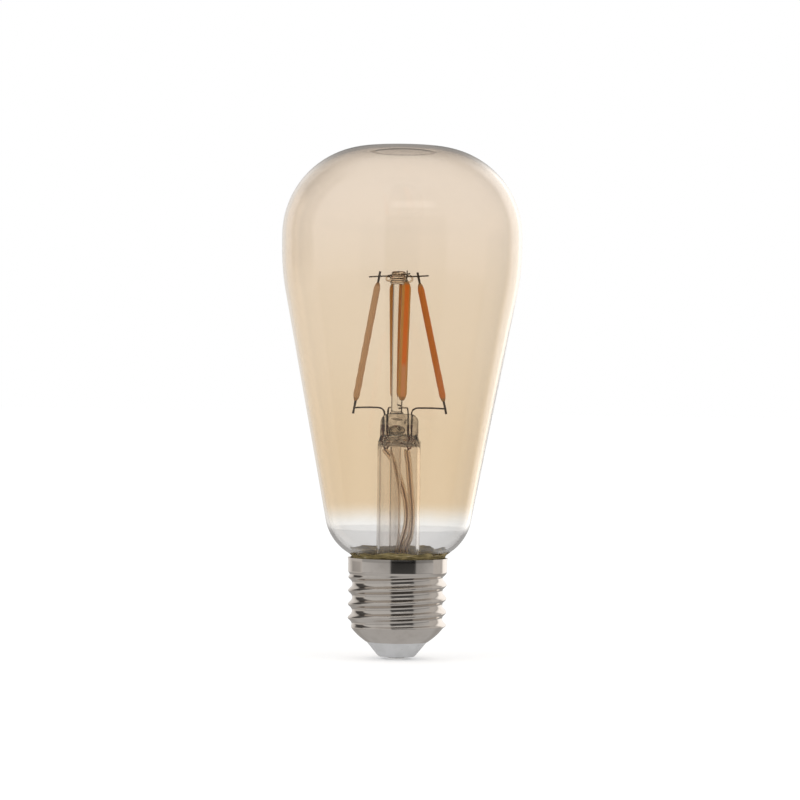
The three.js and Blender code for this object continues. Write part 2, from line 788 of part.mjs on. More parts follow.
/** A group that carries one filament from its lower weld to its upper weld, beside both wires. */
function filament(side) {
  const { top, bottom } = weldPoints(filamentPlaces[side]);
  const along = top.clone().sub(bottom).normalize();
  const outwards = point(bottom.x + top.x - rodOffset, bottom.y + top.y, 0).normalize();
  const beside = new THREE.Vector3().crossVectors(along, outwards).normalize();
  const across = new THREE.Vector3().crossVectors(beside, along);
  const group = new THREE.Group();
  const frame = new THREE.Matrix4().makeBasis(across, beside, along);
  group.quaternion.setFromRotationMatrix(frame);
  group.position.copy(top).add(bottom).multiplyScalar(0.5).addScaledVector(beside, tabSide[side] * tabOffset);
  group.add(piece(`filament_coat_${side}`, filamentCoat(), phosphor));
  group.add(piece(`filament_strip_${side}`, filamentStrip(), ceramic));
  group.add(piece(`filament_tab_top_${side}`, filamentTab("top"), nickelWire));
  group.add(piece(`filament_tab_foot_${side}`, filamentTab("foot"), nickelWire));
  return group;
}

/** The side of its wires on which each filament's tabs are welded. */
const tabSide = { left: 1, right: -1, front: 1, back: -1 };
const filaments = new THREE.Group();
for (const side of Object.keys(filamentPlaces)) {
  filaments.add(filament(side));
}

// ---------------------------------------------------------------- driver in the cap

const capacitorPlace = [-4.5, 0.4];
const chokePlace = [3.7, -3.4];
const resistorPlace = [3.4, 3.7];
const sideLeadPlace = [boardRadius - 1.2, 0];
const centreLeadPlace = [0, -0.4];
const radioPlace = [-1.2, 5.2];

function driverBoard() {
  const leadEnds = ["left", "right"].map((side) => {
    const last = leadRoutes[side][leadRoutes[side].length - 1];
    return [last[1] * sleeveRoom, last[2] * sleeveRoom];
  });
  const holeRadius = Math.max(leadRadius, mainsWireRadius) + holeGap;
  const holes = [...leadEnds, sideLeadPlace, centreLeadPlace].map((place) =>
    post(holeRadius, boardFoot - overcut, boardTop + overcut, wireSides, place),
  );
  return cut(post(boardRadius, boardFoot, boardTop, capSegments), ...holes);
}

function capacitor() {
  const foot = shellFoot + shellWall + contactProud + sealGap + insulatorFlangeHeight + 0.1;
  const top = boardFoot - partStandoff;
  const crimp = top - 1.1;
  return turned(
    outline([
      [0, foot],
      [capacitorRadius - 0.25, foot],
      [capacitorRadius, foot + 0.25],
      [capacitorRadius, crimp],
      [capacitorRadius - 0.25, crimp + 0.25],
      [capacitorRadius, crimp + 0.5],
      [capacitorRadius - 0.1, top],
      [0, top],
    ]),
    smallSegments,
  ).translate(...capacitorPlace, 0);
}

/** A drum choke: two ferrite flanges with the winding between them. */
function choke() {
  const top = boardFoot - partStandoff;
  const foot = top - 4.3;
  const waist = chokeRadius - 0.35;
  return turned(
    outline([
      [0, foot],
      [chokeRadius, foot],
      [chokeRadius, foot + chokeFlange],
      [waist, foot + chokeFlange],
      [waist, top - chokeFlange],
      [chokeRadius, top - chokeFlange],
      [chokeRadius, top],
      [0, top],
    ]),
    smallSegments,
  ).translate(...chokePlace, 0);
}

/** A fusible resistor lying under the board: a bulged body on its axial wire. */
function resistor() {
  const half = resistorLength / 2;
  const body = new THREE.LatheGeometry(
    outline([
      [0, -half],
      [resistorRadius, -half + 0.15],
      [resistorRadius, -half + 1.1],
      [resistorRadius - 0.2, -half + 1.4],
      [resistorRadius - 0.2, half - 1.4],
      [resistorRadius, half - 1.1],
      [resistorRadius, half - 0.15],
      [0, half],
    ]),
    smallSegments,
  ).rotateZ(Math.PI / 2);
  return facingOut(body.translate(...resistorPlace, boardFoot - partStandoff - resistorRadius));
}

/** The wire from the board down to the contact's shank. */
function centreLead() {
  const foot = contactShankHeight + seatGap;
  const [x, y] = centreLeadPlace;
  const bend = point(x, y, foot + 1.8);
  return bar(bentPath([point(0, 0, foot), bend, point(x, y, boardTop + 0.6)], 0.5), mainsWireRadius, 6);
}

/** The wire from the board's edge to its weld on the inside of the shell, at a root of the thread. */
function sideLead() {
  const [x, y] = sideLeadPlace;
  const weldLevel = threadFoot + threadCrestLead + 1.5 * threadPitch;
  const reach = shellBore - mainsWireRadius - seatGap;
  const path = [
    point(x, y, boardFoot - 0.5),
    point(x, y, boardTop + 0.9),
    point(reach, y, weldLevel - 0.2),
    point(reach, y, weldLevel + 0.3),
  ];
  return bar(bentPath(path, 0.2), mainsWireRadius, 12);
}

/** The radio's wire antenna, from its board up into the mouth of the flare. */
function antenna() {
  const foot = boardTop + partStandoff + radioBoard[2] + seatGap;
  const start = point(radioPlace[0] + radioBoard[0] / 2 - 1, radioPlace[1], foot);
  const top = point(start.x - 1.6, sleeveRoom + 0.1, foot + antennaReach);
  const middle = point(start.x - 0.6, start.y - 0.2, foot + antennaReach / 2);
  return bar(new THREE.CatmullRomCurve3([start, middle, top]), antennaRadius, 8);
}

const driver = new THREE.Group();
const mountingLevel = boardTop + partStandoff;
driver.add(piece("driver_board", driverBoard(), boardGreen));
driver.add(piece("smoothing_capacitor", capacitor(), aluminiumCan));
driver.add(piece("filter_choke", choke(), ferrite));
driver.add(piece("fusible_resistor", resistor(), resistorBlue));
driver.add(piece("bridge_rectifier", block(rectifierSize, -5.3, -3.6, mountingLevel), blackEpoxy));
driver.add(piece("driver_chip", block(chipSize, 4.7, -3.9, mountingLevel), blackEpoxy));
driver.add(piece("radio_board", block(radioBoard, ...radioPlace, mountingLevel), boardGreen));
const shieldBack = radioPlace[1] + radioBoard[1] / 2 + seatGap;
driver.add(
  piece(
    "radio_shield",
    block(radioShield, radioPlace[0] - 0.8, shieldBack + radioShield[1] / 2, mountingLevel + 0.6),
    aluminiumCan,
  ),
);
driver.add(piece("radio_antenna", antenna(), copperWire));
driver.add(piece("centre_lead", centreLead(), copperWire));
driver.add(piece("side_lead", sideLead(), copperWire));

const bulb = new THREE.Group();
bulb.add(cap, glassware, stem, wires, filaments, driver);

export default bulb;
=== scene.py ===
"""A filament light bulb on a screw cap, dressed around its CAD frame and set in a plain studio.

Sizes in the classes are millimetres. Every mesh is in metres, in the frame's own axes: +Z up the lamp's
axis from the contact under the cap, +X to the right and -Y towards the camera.
"""

import logging
import math
from collections.abc import Callable, Iterable, Sequence
from dataclasses import dataclass, field
from enum import Enum

import bpy
from mathutils import Matrix, Vector, noise


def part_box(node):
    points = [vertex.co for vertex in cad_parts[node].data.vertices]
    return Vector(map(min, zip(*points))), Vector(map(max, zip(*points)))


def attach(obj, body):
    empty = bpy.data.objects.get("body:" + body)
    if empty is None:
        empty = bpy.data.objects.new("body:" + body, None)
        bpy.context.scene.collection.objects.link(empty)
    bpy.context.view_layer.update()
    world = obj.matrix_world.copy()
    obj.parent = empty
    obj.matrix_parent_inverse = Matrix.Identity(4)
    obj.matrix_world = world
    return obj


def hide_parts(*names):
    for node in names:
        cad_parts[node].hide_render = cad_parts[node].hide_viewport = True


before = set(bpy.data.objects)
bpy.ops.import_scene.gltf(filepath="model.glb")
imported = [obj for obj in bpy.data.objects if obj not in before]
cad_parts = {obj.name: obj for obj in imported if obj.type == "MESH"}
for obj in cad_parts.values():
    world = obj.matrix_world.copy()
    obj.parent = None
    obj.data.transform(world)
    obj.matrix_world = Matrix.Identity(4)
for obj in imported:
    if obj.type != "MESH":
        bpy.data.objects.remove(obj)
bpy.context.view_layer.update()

LOG = logging.getLogger("light_bulb")
MM = 0.001
UPRIGHT = math.pi / 2
Profile = list[tuple[float, float]]
Colour = tuple[float, float, float]


# ---------------------------------------------------------------- shapes of outlines and paths


def smoothstep(value: float, low: float, high: float) -> float:
    """Eases from 0 at low to 1 at high.

    Args:
        value: The place to ease at.
        low: Where the easing starts.
        high: Where it ends.

    Returns:
        A share from 0 to 1.
    """
    share = min(max((value - low) / (high - low), 0.0), 1.0)
    return share * share * (3 - 2 * share)


def arc(x: float, z: float, radius: float, start: float, end: float, steps: int) -> Profile:
    """Points of an arc.

    Args:
        x: The centre's distance from the axis.
        z: The centre's height.
        radius: The arc's radius.
        start: The first angle, in radians.
        end: The last angle, in radians.
        steps: How many chords the arc has.

    Returns:
        The arc's points, one more than its steps.
    """
    angles = (start + (end - start) * i / steps for i in range(steps + 1))
    return [(x + radius * math.cos(a), z + radius * math.sin(a)) for a in angles]


def tidy(*outlines: Profile) -> Profile:
    """Joins outlines into one and leaves out points that repeat.

    Args:
        outlines: The outlines, end to end.

    Returns:
        One outline.
    """
    points: Profile = []
    for point in (p for outline in outlines for p in outline):
        if not points or math.dist(points[-1], point) > 1e-4:
            points.append(point)
    return points


def sideways(points: Profile, distance: float) -> Profile:
    """Moves an outline to its left.

    Args:
        points: The outline.
        distance: How far it moves.

    Returns:
        The moved outline.
    """
    moved = []
    for i, (x, z) in enumerate(points):
        (x0, z0), (x1, z1) = points[max(i - 1, 0)], points[min(i + 1, len(points) - 1)]
        length = math.dist((x0, z0), (x1, z1))
        moved.append((x - (z1 - z0) / length * distance, z + (x1 - x0) / length * distance))
    return moved


def rounded_path(corners: Sequence[Vector], radius: float, steps: int = 8) -> list[Vector]:
    """A path through corners, each rounded off.

    Args:
        corners: The path's ends and corners.
        radius: How far before and after a corner its rounding reaches.
        steps: How many pieces each rounding has.

    Returns:
        The points of the path.
    """
    path = [corners[0]]
    for before, corner, after in zip(corners, corners[1:], corners[2:]):
        start = corner + (before - corner).normalized() * radius
        end = corner + (after - corner).normalized() * radius
        for i in range(steps + 1):
            t = i / steps
            path.append(start * (1 - t) ** 2 + corner * 2 * t * (1 - t) + end * t**2)
    return [*path, corners[-1]]


def smooth_path(points: Sequence[Vector], steps: int = 8) -> list[Vector]:
    """A smooth path through points, by the centripetal Catmull-Rom rule.

    Args:
        points: The points that the path passes.
        steps: How many pieces lie between two of them.

    Returns:
        The points of the path.
    """
    whole = [points[0] * 2 - points[1], *points, points[-1] * 2 - points[-2]]
    path = []
    for p0, p1, p2, p3 in zip(whole, whole[1:], whole[2:], whole[3:]):
        knots = [0.0]
        for a, b in ((p0, p1), (p1, p2), (p2, p3)):
            knots.append(knots[-1] + max((b - a).length, 1e-9) ** 0.5)
        t0, t1, t2, t3 = knots
        for i in range(steps):
            t = t1 + (t2 - t1) * i / steps
            a1 = p0.lerp(p1, (t - t0) / (t1 - t0))
            a2 = p1.lerp(p2, (t - t1) / (t2 - t1))
            a3 = p2.lerp(p3, (t - t2) / (t3 - t2))
            b1 = a1.lerp(a2, (t - t0) / (t2 - t0))
            b2 = a2.lerp(a3, (t - t1) / (t3 - t1))
            path.append(b1.lerp(b2, (t - t1) / (t2 - t1)))
    return [*path, points[-1].copy()]


# ---------------------------------------------------------------- modelling


def deselect() -> None:
    """Leaves every object unselected, so that an operator reaches only what is chosen next."""
    bpy.ops.object.select_all(action="DESELECT")


def choose(piece: bpy.types.Object) -> None:
    """Makes one object the only selected and active one."""
    deselect()
    piece.select_set(True)
    bpy.context.view_layer.objects.active = piece


def settle(piece: bpy.types.Object) -> None:
    """Puts an object's place, turn and size into its mesh."""
    choose(piece)
    bpy.ops.object.transform_apply(location=True, rotation=True, scale=True)


def close_seams(piece: bpy.types.Object, distance: float = 1e-6) -> None:
    """Merges a mesh's doubled points and turns its faces outwards.

    Args:
        piece: The object to mend.
        distance: How near two points are when they are one.
    """
    choose(piece)
    bpy.ops.object.mode_set(mode="EDIT")
    bpy.ops.mesh.select_all(action="SELECT")
    bpy.ops.mesh.remove_doubles(threshold=distance)
    bpy.ops.mesh.normals_make_consistent(inside=False)
    bpy.ops.object.mode_set(mode="OBJECT")


def soften(piece: bpy.types.Object, angle: float = 40) -> bpy.types.Object:
    """Shades a mesh smooth, but for edges sharper than an angle in degrees."""
    choose(piece)
    bpy.ops.object.shade_smooth_by_angle(angle=math.radians(angle))
    return piece


def spun(name: str, profile: Profile, steps: int, centre: tuple[float, float] = (0, 0)) -> bpy.types.Object:
    """Spins an outline about an upright line into a closed piece.

    Args:
        name: The piece's name.
        profile: Radii and heights in millimetres. It starts and ends on the line, or where it started.
        steps: How many flats the piece has round it.
        centre: Where the line stands, in millimetres.

    Returns:
        The new object.
    """
    (x, y), points = centre, [(r * MM, z * MM) for r, z in profile]
    deselect()
    bpy.ops.mesh.primitive_plane_add(size=MM, location=(x * MM + points[0][0], y * MM, points[0][1]))
    piece = bpy.context.object
    piece.name = name
    settle(piece)
    bpy.ops.object.mode_set(mode="EDIT")
    bpy.ops.mesh.select_mode(type="VERT")
    bpy.ops.mesh.select_all(action="SELECT")
    bpy.ops.mesh.merge(type="CENTER")
    for (r0, z0), (r1, z1) in zip(points, points[1:]):
        bpy.ops.mesh.extrude_vertices_move(TRANSFORM_OT_translate={"value": (r1 - r0, 0, z1 - z0)})
    bpy.ops.mesh.select_all(action="SELECT")
    bpy.ops.mesh.remove_doubles(threshold=1e-7)
    bpy.ops.mesh.select_all(action="SELECT")
    bpy.ops.mesh.spin(steps=steps, angle=2 * math.pi, center=(x * MM, y * MM, 0), axis=(0, 0, 1))
    bpy.ops.object.mode_set(mode="OBJECT")
    close_seams(piece)
    return piece


def piped(
    name: str, path: Sequence[Vector], radius: float, roundness: int = 4, hollow: float = 0
) -> bpy.types.Object:
    """Runs a round bar along a path.

    Args:
        name: The piece's name.
        path: The points of the path, in millimetres.
        radius: The bar's radius, in millimetres.
        roundness: How finely the bar is rounded.
        hollow: The wall's thickness in millimetres if the bar is a pipe.

    Returns:
        The new object.
    """
    deselect()
    bpy.ops.curve.primitive_nurbs_path_add()
    curve = bpy.context.object
    curve.name = name
    data = curve.data
    data.splines.clear()
    spline = data.splines.new("POLY")
    spline.points.add(len(path) - 1)
    for point, place in zip(spline.points, path):
        point.co = (*(place * MM), 1)
    data.dimensions = "3D"
    data.bevel_depth = radius * MM
    data.bevel_resolution = roundness
    data.use_fill_caps = not hollow
    bpy.ops.object.convert(target="MESH")
    piece = bpy.context.object
    close_seams(piece)
    if hollow:
        wall = piece.modifiers.new("wall", "SOLIDIFY")
        wall.thickness = hollow * MM
        choose(piece)
        bpy.ops.object.modifier_apply(modifier=wall.name)
        close_seams(piece, 1e-8)
    return soften(piece)


def block(
    name: str,
    low: Sequence[float],
    high: Sequence[float],
    edge: float,
    place: Matrix | None = None,
    rounds: int = 3,
) -> bpy.types.Object:
    """A block with rounded edges.

    Args:
        name: The piece's name.
        low: Its lowest corner, in millimetres.
        high: Its highest corner, in millimetres.
        edge: How wide its edges' rounding is, in millimetres.
        place: A turn and a move that are given to it at the end.
        rounds: How many flats each rounding has.

    Returns:
        The new object.
    """
    deselect()
    bpy.ops.mesh.primitive_cube_add(size=1)
    piece = bpy.context.object
    piece.name = name
    piece.location = [(a + b) / 2 * MM for a, b in zip(low, high)]
    piece.scale = [(b - a) * MM for a, b in zip(low, high)]
    settle(piece)
    bpy.ops.object.mode_set(mode="EDIT")
    bpy.ops.mesh.select_all(action="SELECT")
    bpy.ops.mesh.bevel(offset=edge * MM, segments=rounds, affect="EDGES")
    bpy.ops.object.mode_set(mode="OBJECT")
    if place is not None:
        piece.matrix_world = place
        settle(piece)
    return soften(piece, 60)


def joined(name: str, pieces: Sequence[bpy.types.Object]) -> bpy.types.Object:
    """Makes several objects one, under a new name."""
    choose(pieces[0])
    for piece in pieces:
        piece.select_set(True)
    bpy.ops.object.join()
    whole = bpy.context.object
    whole.name = name
    return whole


def reshape(piece: bpy.types.Object, move: Callable[[Vector], Vector]) -> bpy.types.Object:
    """Moves every point of a mesh by a rule.

    Args:
        piece: The object to change.
        move: Gives a point's new place, in millimetres, from its old one.

    Returns:
        The same object.
    """
    for vertex in piece.data.vertices:
        vertex.co = move(vertex.co / MM) * MM
    piece.data.update()
    return piece


def middle_of(node: str) -> Vector:
    """The middle of a CAD node's box, in millimetres."""
    low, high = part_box(node)
    return (low + high) / 2 / MM


def reach_of(node: str) -> tuple[Vector, Vector]:
    """The lowest and highest corners of a CAD node's box, in millimetres."""
    low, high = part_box(node)
    return low / MM, high / MM


def install(piece: bpy.types.Object, material: bpy.types.Material, slot: str, *nodes: str) -> None:
    """Dresses a finished piece and puts it in the place of its CAD nodes.

    Args:
        piece: The finished piece.
        material: What it is made of.
        slot: The record's name for its finish; not used.
        nodes: The CAD nodes that it stands for, if any.
    """
    piece.data.materials.clear()
    piece.data.materials.append(material)
    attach(piece, "root")
    if nodes:
        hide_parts(*nodes)
    LOG.info("%s: %d faces", piece.name, len(piece.data.polygons))


# ---------------------------------------------------------------- finishes


class Wiring:
    """A node tree that is wired up step by step."""

    def __init__(self, tree: bpy.types.NodeTree) -> None:
        """Takes the tree on."""
        self.tree = tree

    def set(self, node: bpy.types.Node, values: dict[str | int, object]) -> None:
        """Sets or links a node's inputs."""
        for key, value in values.items():
            if isinstance(value, bpy.types.NodeSocket):
                self.tree.links.new(value, node.inputs[key])
            else:
                node.inputs[key].default_value = value

    def node(self, kind: str, values: dict[str | int, object], **settings: object) -> bpy.types.Node:
        """Adds a node.

        Args:
            kind: The node's type, without the words ShaderNode.
            values: Its inputs' values or links.
            settings: Its own settings.

        Returns:
            The new node.
        """
        node = self.tree.nodes.new("ShaderNode" + kind)
        for key, value in settings.items():
            setattr(node, key, value)
        self.set(node, values)
        return node

    def maths(self, operation: str, *values: float | bpy.types.NodeSocket) -> bpy.types.NodeSocket:
        """One sum, of the kind that is named."""
        return self.node("Math", dict(enumerate(values)), operation=operation).outputs["Value"]

    def between(
        self, value: bpy.types.NodeSocket, low: float, high: float, to_low: float = 0, to_high: float = 1
    ) -> bpy.types.NodeSocket:
        """Carries a value smoothly from one range to another."""
        values = {"Value": value, "From Min": low, "From Max": high, "To Min": to_low, "To Max": to_high}
        return self.node("MapRange", values, interpolation_type="SMOOTHSTEP").outputs["Result"]

    def blend(
        self, share: bpy.types.NodeSocket, first: Colour | bpy.types.NodeSocket, second: Colour | bpy.types.NodeSocket
    ) -> bpy.types.NodeSocket:
        """A colour between two others."""
        ends = [c if isinstance(c, bpy.types.NodeSocket) else (*c, 1) for c in (first, second)]
        mix = self.node("Mix", {0: share, 6: ends[0], 7: ends[1]}, data_type="RGBA")
        return mix.outputs[2]


class Recipe(Wiring):
    """One material's node tree, with the few steps that every finish is made of."""

    def __init__(self, name: str, colour: Colour, roughness: float, metallic: float = 0.0) -> None:
        """Starts a material from its plain values."""
        self.material = bpy.data.materials.new(name)
        self.material.use_nodes = True
        super().__init__(self.material.node_tree)
        self.shader = self.tree.nodes["Principled BSDF"]
        self.set(self.shader, {"Base Color": (*colour, 1), "Roughness": roughness, "Metallic": metallic})
        self.place = self.tree.nodes.new("ShaderNodeTexCoord").outputs["Object"]

    def stretched(self, scale: Sequence[float], turn: Sequence[float] = (0, 0, 0)) -> bpy.types.NodeSocket:
        """Object coordinates scaled and turned."""
        mapping = self.node("Mapping", {"Vector": self.place, "Scale": scale, "Rotation": turn})
        return mapping.outputs["Vector"]

    def noise(self, per_mm: float, detail: float = 3, place: bpy.types.NodeSocket | None = None) -> bpy.types.NodeSocket:
        """Noise with a number of grains per millimetre."""
        values = {"Vector": place or self.place, "Scale": per_mm / MM, "Detail": detail}
        return self.node("TexNoise", values).outputs["Fac"]

    def height(self) -> bpy.types.NodeSocket:
        """The height over the contact, in metres."""
        return self.node("SeparateXYZ", {"Vector": self.place}).outputs["Z"]

    def sum(self, first: bpy.types.NodeSocket, second: bpy.types.NodeSocket, share: float) -> bpy.types.NodeSocket:
        """The first value with a share of the second added."""
        return self.maths("MULTIPLY_ADD", second, share, first)

    def off_plane(self, middle: Vector, across: Vector) -> bpy.types.NodeSocket:
        """How far a point is from a plane, in metres, on either side.

        Args:
            middle: A point of the plane, in millimetres.
            across: The plane's normal.

        Returns:
            The distance.
        """
        values = {0: self.place, 1: tuple(middle * MM)}
        away = self.node("VectorMath", values, operation="SUBTRACT").outputs["Vector"]
        values = {0: away, 1: tuple(across)}
        return self.maths("ABSOLUTE", self.node("VectorMath", values, operation="DOT_PRODUCT").outputs["Value"])

    def paint(self, colour: bpy.types.NodeSocket) -> None:
        """Feeds the base colour."""
        self.set(self.shader, {"Base Color": colour})

    def polish(self, share: bpy.types.NodeSocket, low: float, high: float) -> None:
        """Lets the roughness wander between two values."""
        self.set(self.shader, {"Roughness": self.between(share, 0.3, 0.7, low, high)})

    def bump(self, height: bpy.types.NodeSocket, depth: float, strength: float = 1) -> None:
        """Raises the surface by a height pattern, up to a depth in millimetres."""
        values = {"Height": height, "Distance": depth * MM, "Strength": strength}
        self.set(self.shader, {"Normal": self.node("Bump", values).outputs["Normal"]})


@dataclass(frozen=True)
class AmberGlass:
    """Clear glass with an amber coat, sprayed on from above and fading out over the neck."""

    upper: Colour = (0.928, 0.853, 0.770)
    middle: Colour = (0.905, 0.812, 0.690)
    lower: Colour = (0.885, 0.775, 0.625)
    bare: Colour = (0.975, 0.97, 0.955)
    masked: Colour = (0.835, 0.830, 0.825)
    mask_edge: float = 34.6
    coat_foot: float = 35.0
    coat_full: float = 42.0
    waviness: float = 2.2

    def material(self) -> bpy.types.Material:
        """Makes the finish's material."""
        recipe = Recipe("amber_glass", self.middle, 0.0)
        recipe.set(recipe.shader, {"Transmission Weight": 1.0, "IOR": 1.46})
        height = recipe.height()
        wave = recipe.noise(0.09, 2)
        edge = recipe.sum(height, wave, self.waviness * MM)
        low = (self.coat_foot + self.waviness / 2) * MM
        high = (self.coat_full + self.waviness / 2) * MM
        coat = recipe.blend(recipe.between(height, 50 * MM, 92 * MM), self.lower, self.middle)
        coat = recipe.blend(recipe.between(height, 88 * MM, 128 * MM), coat, self.upper)
        coat = recipe.blend(recipe.between(edge, low, high), self.bare, coat)
        crinkle = recipe.sum(height, recipe.noise(1.1, 4), 1.0 * MM)
        mask = recipe.between(crinkle, (self.mask_edge + 0.42) * MM, (self.mask_edge + 0.52) * MM)
        recipe.paint(recipe.blend(mask, self.masked, coat))
        recipe.bump(recipe.noise(0.05, 1), 0.05, 0.25)
        return recipe.material


@dataclass(frozen=True)
class ClearGlass:
    """Worked glass of the stem, a little wavy from the flame, and tinted darker and mottled where it was pinched, a
    tint that is painted shade.
    """

    name: str = "clear_glass"
    tint: Colour = (0.945, 0.925, 0.905)
    wave_depth: float = 0.03
    waves_per_mm: float = 0.35
    pinched_from: float = 1000.0
    # Colours of the painted shade where the glass was pinched.
    pinched: Colour = (0.46, 0.43, 0.39)
    lighter_pinch_shade: Colour = (0.74, 0.71, 0.67)
    pinch_depth: float = 0.2

    def material(self) -> bpy.types.Material:
        """Makes the finish's material."""
        recipe = Recipe(self.name, self.tint, 0.0)
        recipe.set(recipe.shader, {"Transmission Weight": 1.0, "IOR": 1.5})
        streaks = recipe.noise(self.waves_per_mm, 2, recipe.stretched((1, 1, 0.25)))
        darker = tuple(c * 0.95 for c in self.tint)
        tint = recipe.blend(recipe.between(streaks, 0.35, 0.7), self.tint, darker)
        height = recipe.height()
        low, high = (self.pinched_from - 0.3) * MM, (self.pinched_from + 0.5) * MM
        # From pinched_from up the glass is tinted darker and mottled: painted shade.
        cloud = recipe.noise(0.6, 3)
        mottled_shade = recipe.blend(recipe.between(cloud, 0.4, 0.7), self.pinched, self.lighter_pinch_shade)
        pinch = recipe.between(height, low, high)
        recipe.paint(recipe.blend(pinch, tint, mottled_shade))
        swirl = recipe.maths("MULTIPLY", recipe.noise(0.45, 2), recipe.maths("ADD", pinch, 0.15))
        recipe.bump(swirl, self.pinch_depth, 0.5)
        return recipe.material


@dataclass(frozen=True)
class Metal:
    """A metal with uneven polish, faint tarnish and fine drawing marks."""

    name: str
    colour: Colour
    tarnish: Colour
    smooth: float
    rough: float
    grains_per_mm: float = 0.6
    mark_depth: float = 0.004
    stretch: tuple[float, float, float] = (1, 1, 1)

    def material(self) -> bpy.types.Material:
        """Makes the finish's material."""
        recipe = Recipe(self.name, self.colour, self.smooth, 1.0)
        clouds = recipe.noise(self.grains_per_mm, 4)
        recipe.paint(recipe.blend(recipe.between(clouds, 0.45, 0.75), self.colour, self.tarnish))
        recipe.polish(clouds, self.smooth, self.rough)
        recipe.bump(recipe.noise(self.grains_per_mm * 6, 2, recipe.stretched(self.stretch)), self.mark_depth, 0.5)
        return recipe.material


@dataclass(frozen=True)
class Moulding:
    """A matt moulded or fired body with fine grain, specks and uneven sheen."""

    name: str
    colour: Colour
    shade: Colour
    roughness: float = 0.5
    grains_per_mm: float = 3.0
    grain_depth: float = 0.01
    speck_share: float = 0.0
    speck: Colour = (0.15, 0.12, 0.08)

    def material(self) -> bpy.types.Material:
        """Makes the finish's material."""
        recipe = Recipe(self.name, self.colour, self.roughness)
        clouds = recipe.noise(self.grains_per_mm * 0.12, 4)
        colour = recipe.blend(recipe.between(clouds, 0.35, 0.7), self.colour, self.shade)
        if self.speck_share:
            specks = recipe.noise(self.grains_per_mm * 0.8, 1)
            colour = recipe.blend(recipe.between(specks, 0.78 - self.speck_share, 0.8), colour, self.speck)
        recipe.paint(colour)
        recipe.polish(clouds, self.roughness * 0.85, min(self.roughness * 1.2, 1))
        recipe.bump(recipe.noise(self.grains_per_mm, 4), self.grain_depth, 0.6)
        return recipe.material


@dataclass(frozen=True)
class Streaky:
    """A paste that was wiped round while wet: dark and light streaks that run round the axis."""

    name: str
    body: Colour
    dark: Colour
    light: Colour
    streaks_per_mm: float = 0.4
    stretch: float = 6.0
    depth: float = 0.08

    def material(self) -> bpy.types.Material:
        """Makes the finish's material."""
        recipe = Recipe(self.name, self.body, 0.7)
        recipe.set(recipe.shader, {"Specular IOR Level": 0.2, "Transmission Weight": 0.3})
        streaks = recipe.noise(self.streaks_per_mm, 5, recipe.stretched((1, 1, self.stretch)))
        colour = recipe.blend(recipe.between(streaks, 0.38, 0.55), self.dark, self.body)
        recipe.paint(recipe.blend(recipe.between(streaks, 0.60, 0.70), colour, self.light))
        recipe.polish(streaks, 0.55, 0.85)
        recipe.bump(streaks, self.depth, 0.8)
        return recipe.material


@dataclass(frozen=True)
class Phosphor:
    """Satin silicone full of phosphor: deep over the strip, and golden along its two edges, where the coat is thinner.
    The golden edge colour is also painted edge shade and painted light shining through the thin edges, and the lower
    colour, paler on some filaments, is a painted reflection veil.
    """

    name: str
    upper: Colour
    # Where the lower colour is paler than the upper one, it is a painted reflection veil of the softboxes on the
    # glass.
    lower: Colour
    # The edge colour is partly the thinner coat, partly painted edge shade and painted light through the thin edges.
    edge: Colour
    change: float
    change_width: float = 2.0
    core: float = 0.35
    rim: float = 0.85
    tips: Colour = (0.30, 0.17, 0.07)
    grain: Colour = (0.30, 0.13, 0.03)

    def material(self, middle: Vector, across: Vector, along: Vector) -> bpy.types.Material:
        """Makes the finish's material for one filament.

        Args:
            middle: The filament's middle, in millimetres.
            across: The direction from its core to its two edges.
            along: Half of the filament's length, as an arrow from its middle to its top.

        Returns:
            The material.
        """
        recipe = Recipe(self.name, self.upper, 0.4)
        recipe.set(recipe.shader, {"Coat Weight": 0.08, "Coat Roughness": 0.2, "Specular IOR Level": 0.25})
        # Below the change height the colour goes over to the lower one; where that is paler, it is a painted
        # reflection veil.
        drift = recipe.sum(recipe.height(), recipe.noise(0.5, 1), 1.2 * MM)
        low, high = self.change - self.change_width / 2 + 0.6, self.change + self.change_width / 2 + 0.6
        body = recipe.blend(recipe.between(drift, low * MM, high * MM), self.lower, self.upper)
        # Towards the two edges the colour goes golden: partly the thinner coat, partly painted edge shade and painted
        # light through the edges.
        off_core = recipe.off_plane(middle, across)
        body = recipe.blend(recipe.between(off_core, self.core * MM, self.rim * MM), body, self.edge)
        off_middle = recipe.off_plane(middle, along.normalized())
        tips = recipe.between(off_middle, (along.length - 1.3) * MM, (along.length - 0.3) * MM)
        body = recipe.blend(tips, body, self.tips)
        grain = recipe.noise(7, 3)
        recipe.paint(recipe.blend(recipe.between(grain, 0.5, 0.8, 0, 0.2), body, self.grain))
        recipe.bump(grain, 0.02, 0.4)
        return recipe.material


@dataclass(frozen=True)
class WovenSleeve:
    """Fine glass-fibre braid soaked in varnish, which lets light through."""

    name: str = "glass_fibre_sleeve"
    thread: Colour = (0.96, 0.88, 0.78)
    gap: Colour = (0.80, 0.67, 0.54)
    threads_per_mm: float = 3.2

    def material(self) -> bpy.types.Material:
        """Makes the finish's material."""
        recipe = Recipe(self.name, self.thread, 0.12)
        recipe.set(recipe.shader, {"Transmission Weight": 0.88, "IOR": 1.42})
        waves = []
        for lean in (0.9, -0.9):
            place = recipe.stretched((1, 1, 1), (0, lean, 0))
            values = {"Vector": place, "Scale": self.threads_per_mm / MM / 6.3, "Distortion": 1.0, "Detail": 1.0}
            waves.append(recipe.node("TexWave", values, bands_direction="Z").outputs["Fac"])
        weave = recipe.node("Math", {0: waves[0], 1: waves[1]}, operation="MAXIMUM").outputs["Value"]
        recipe.paint(recipe.blend(recipe.between(weave, 0.2, 0.7), self.gap, self.thread))
        recipe.bump(weave, 0.02, 0.4)
        return recipe.material


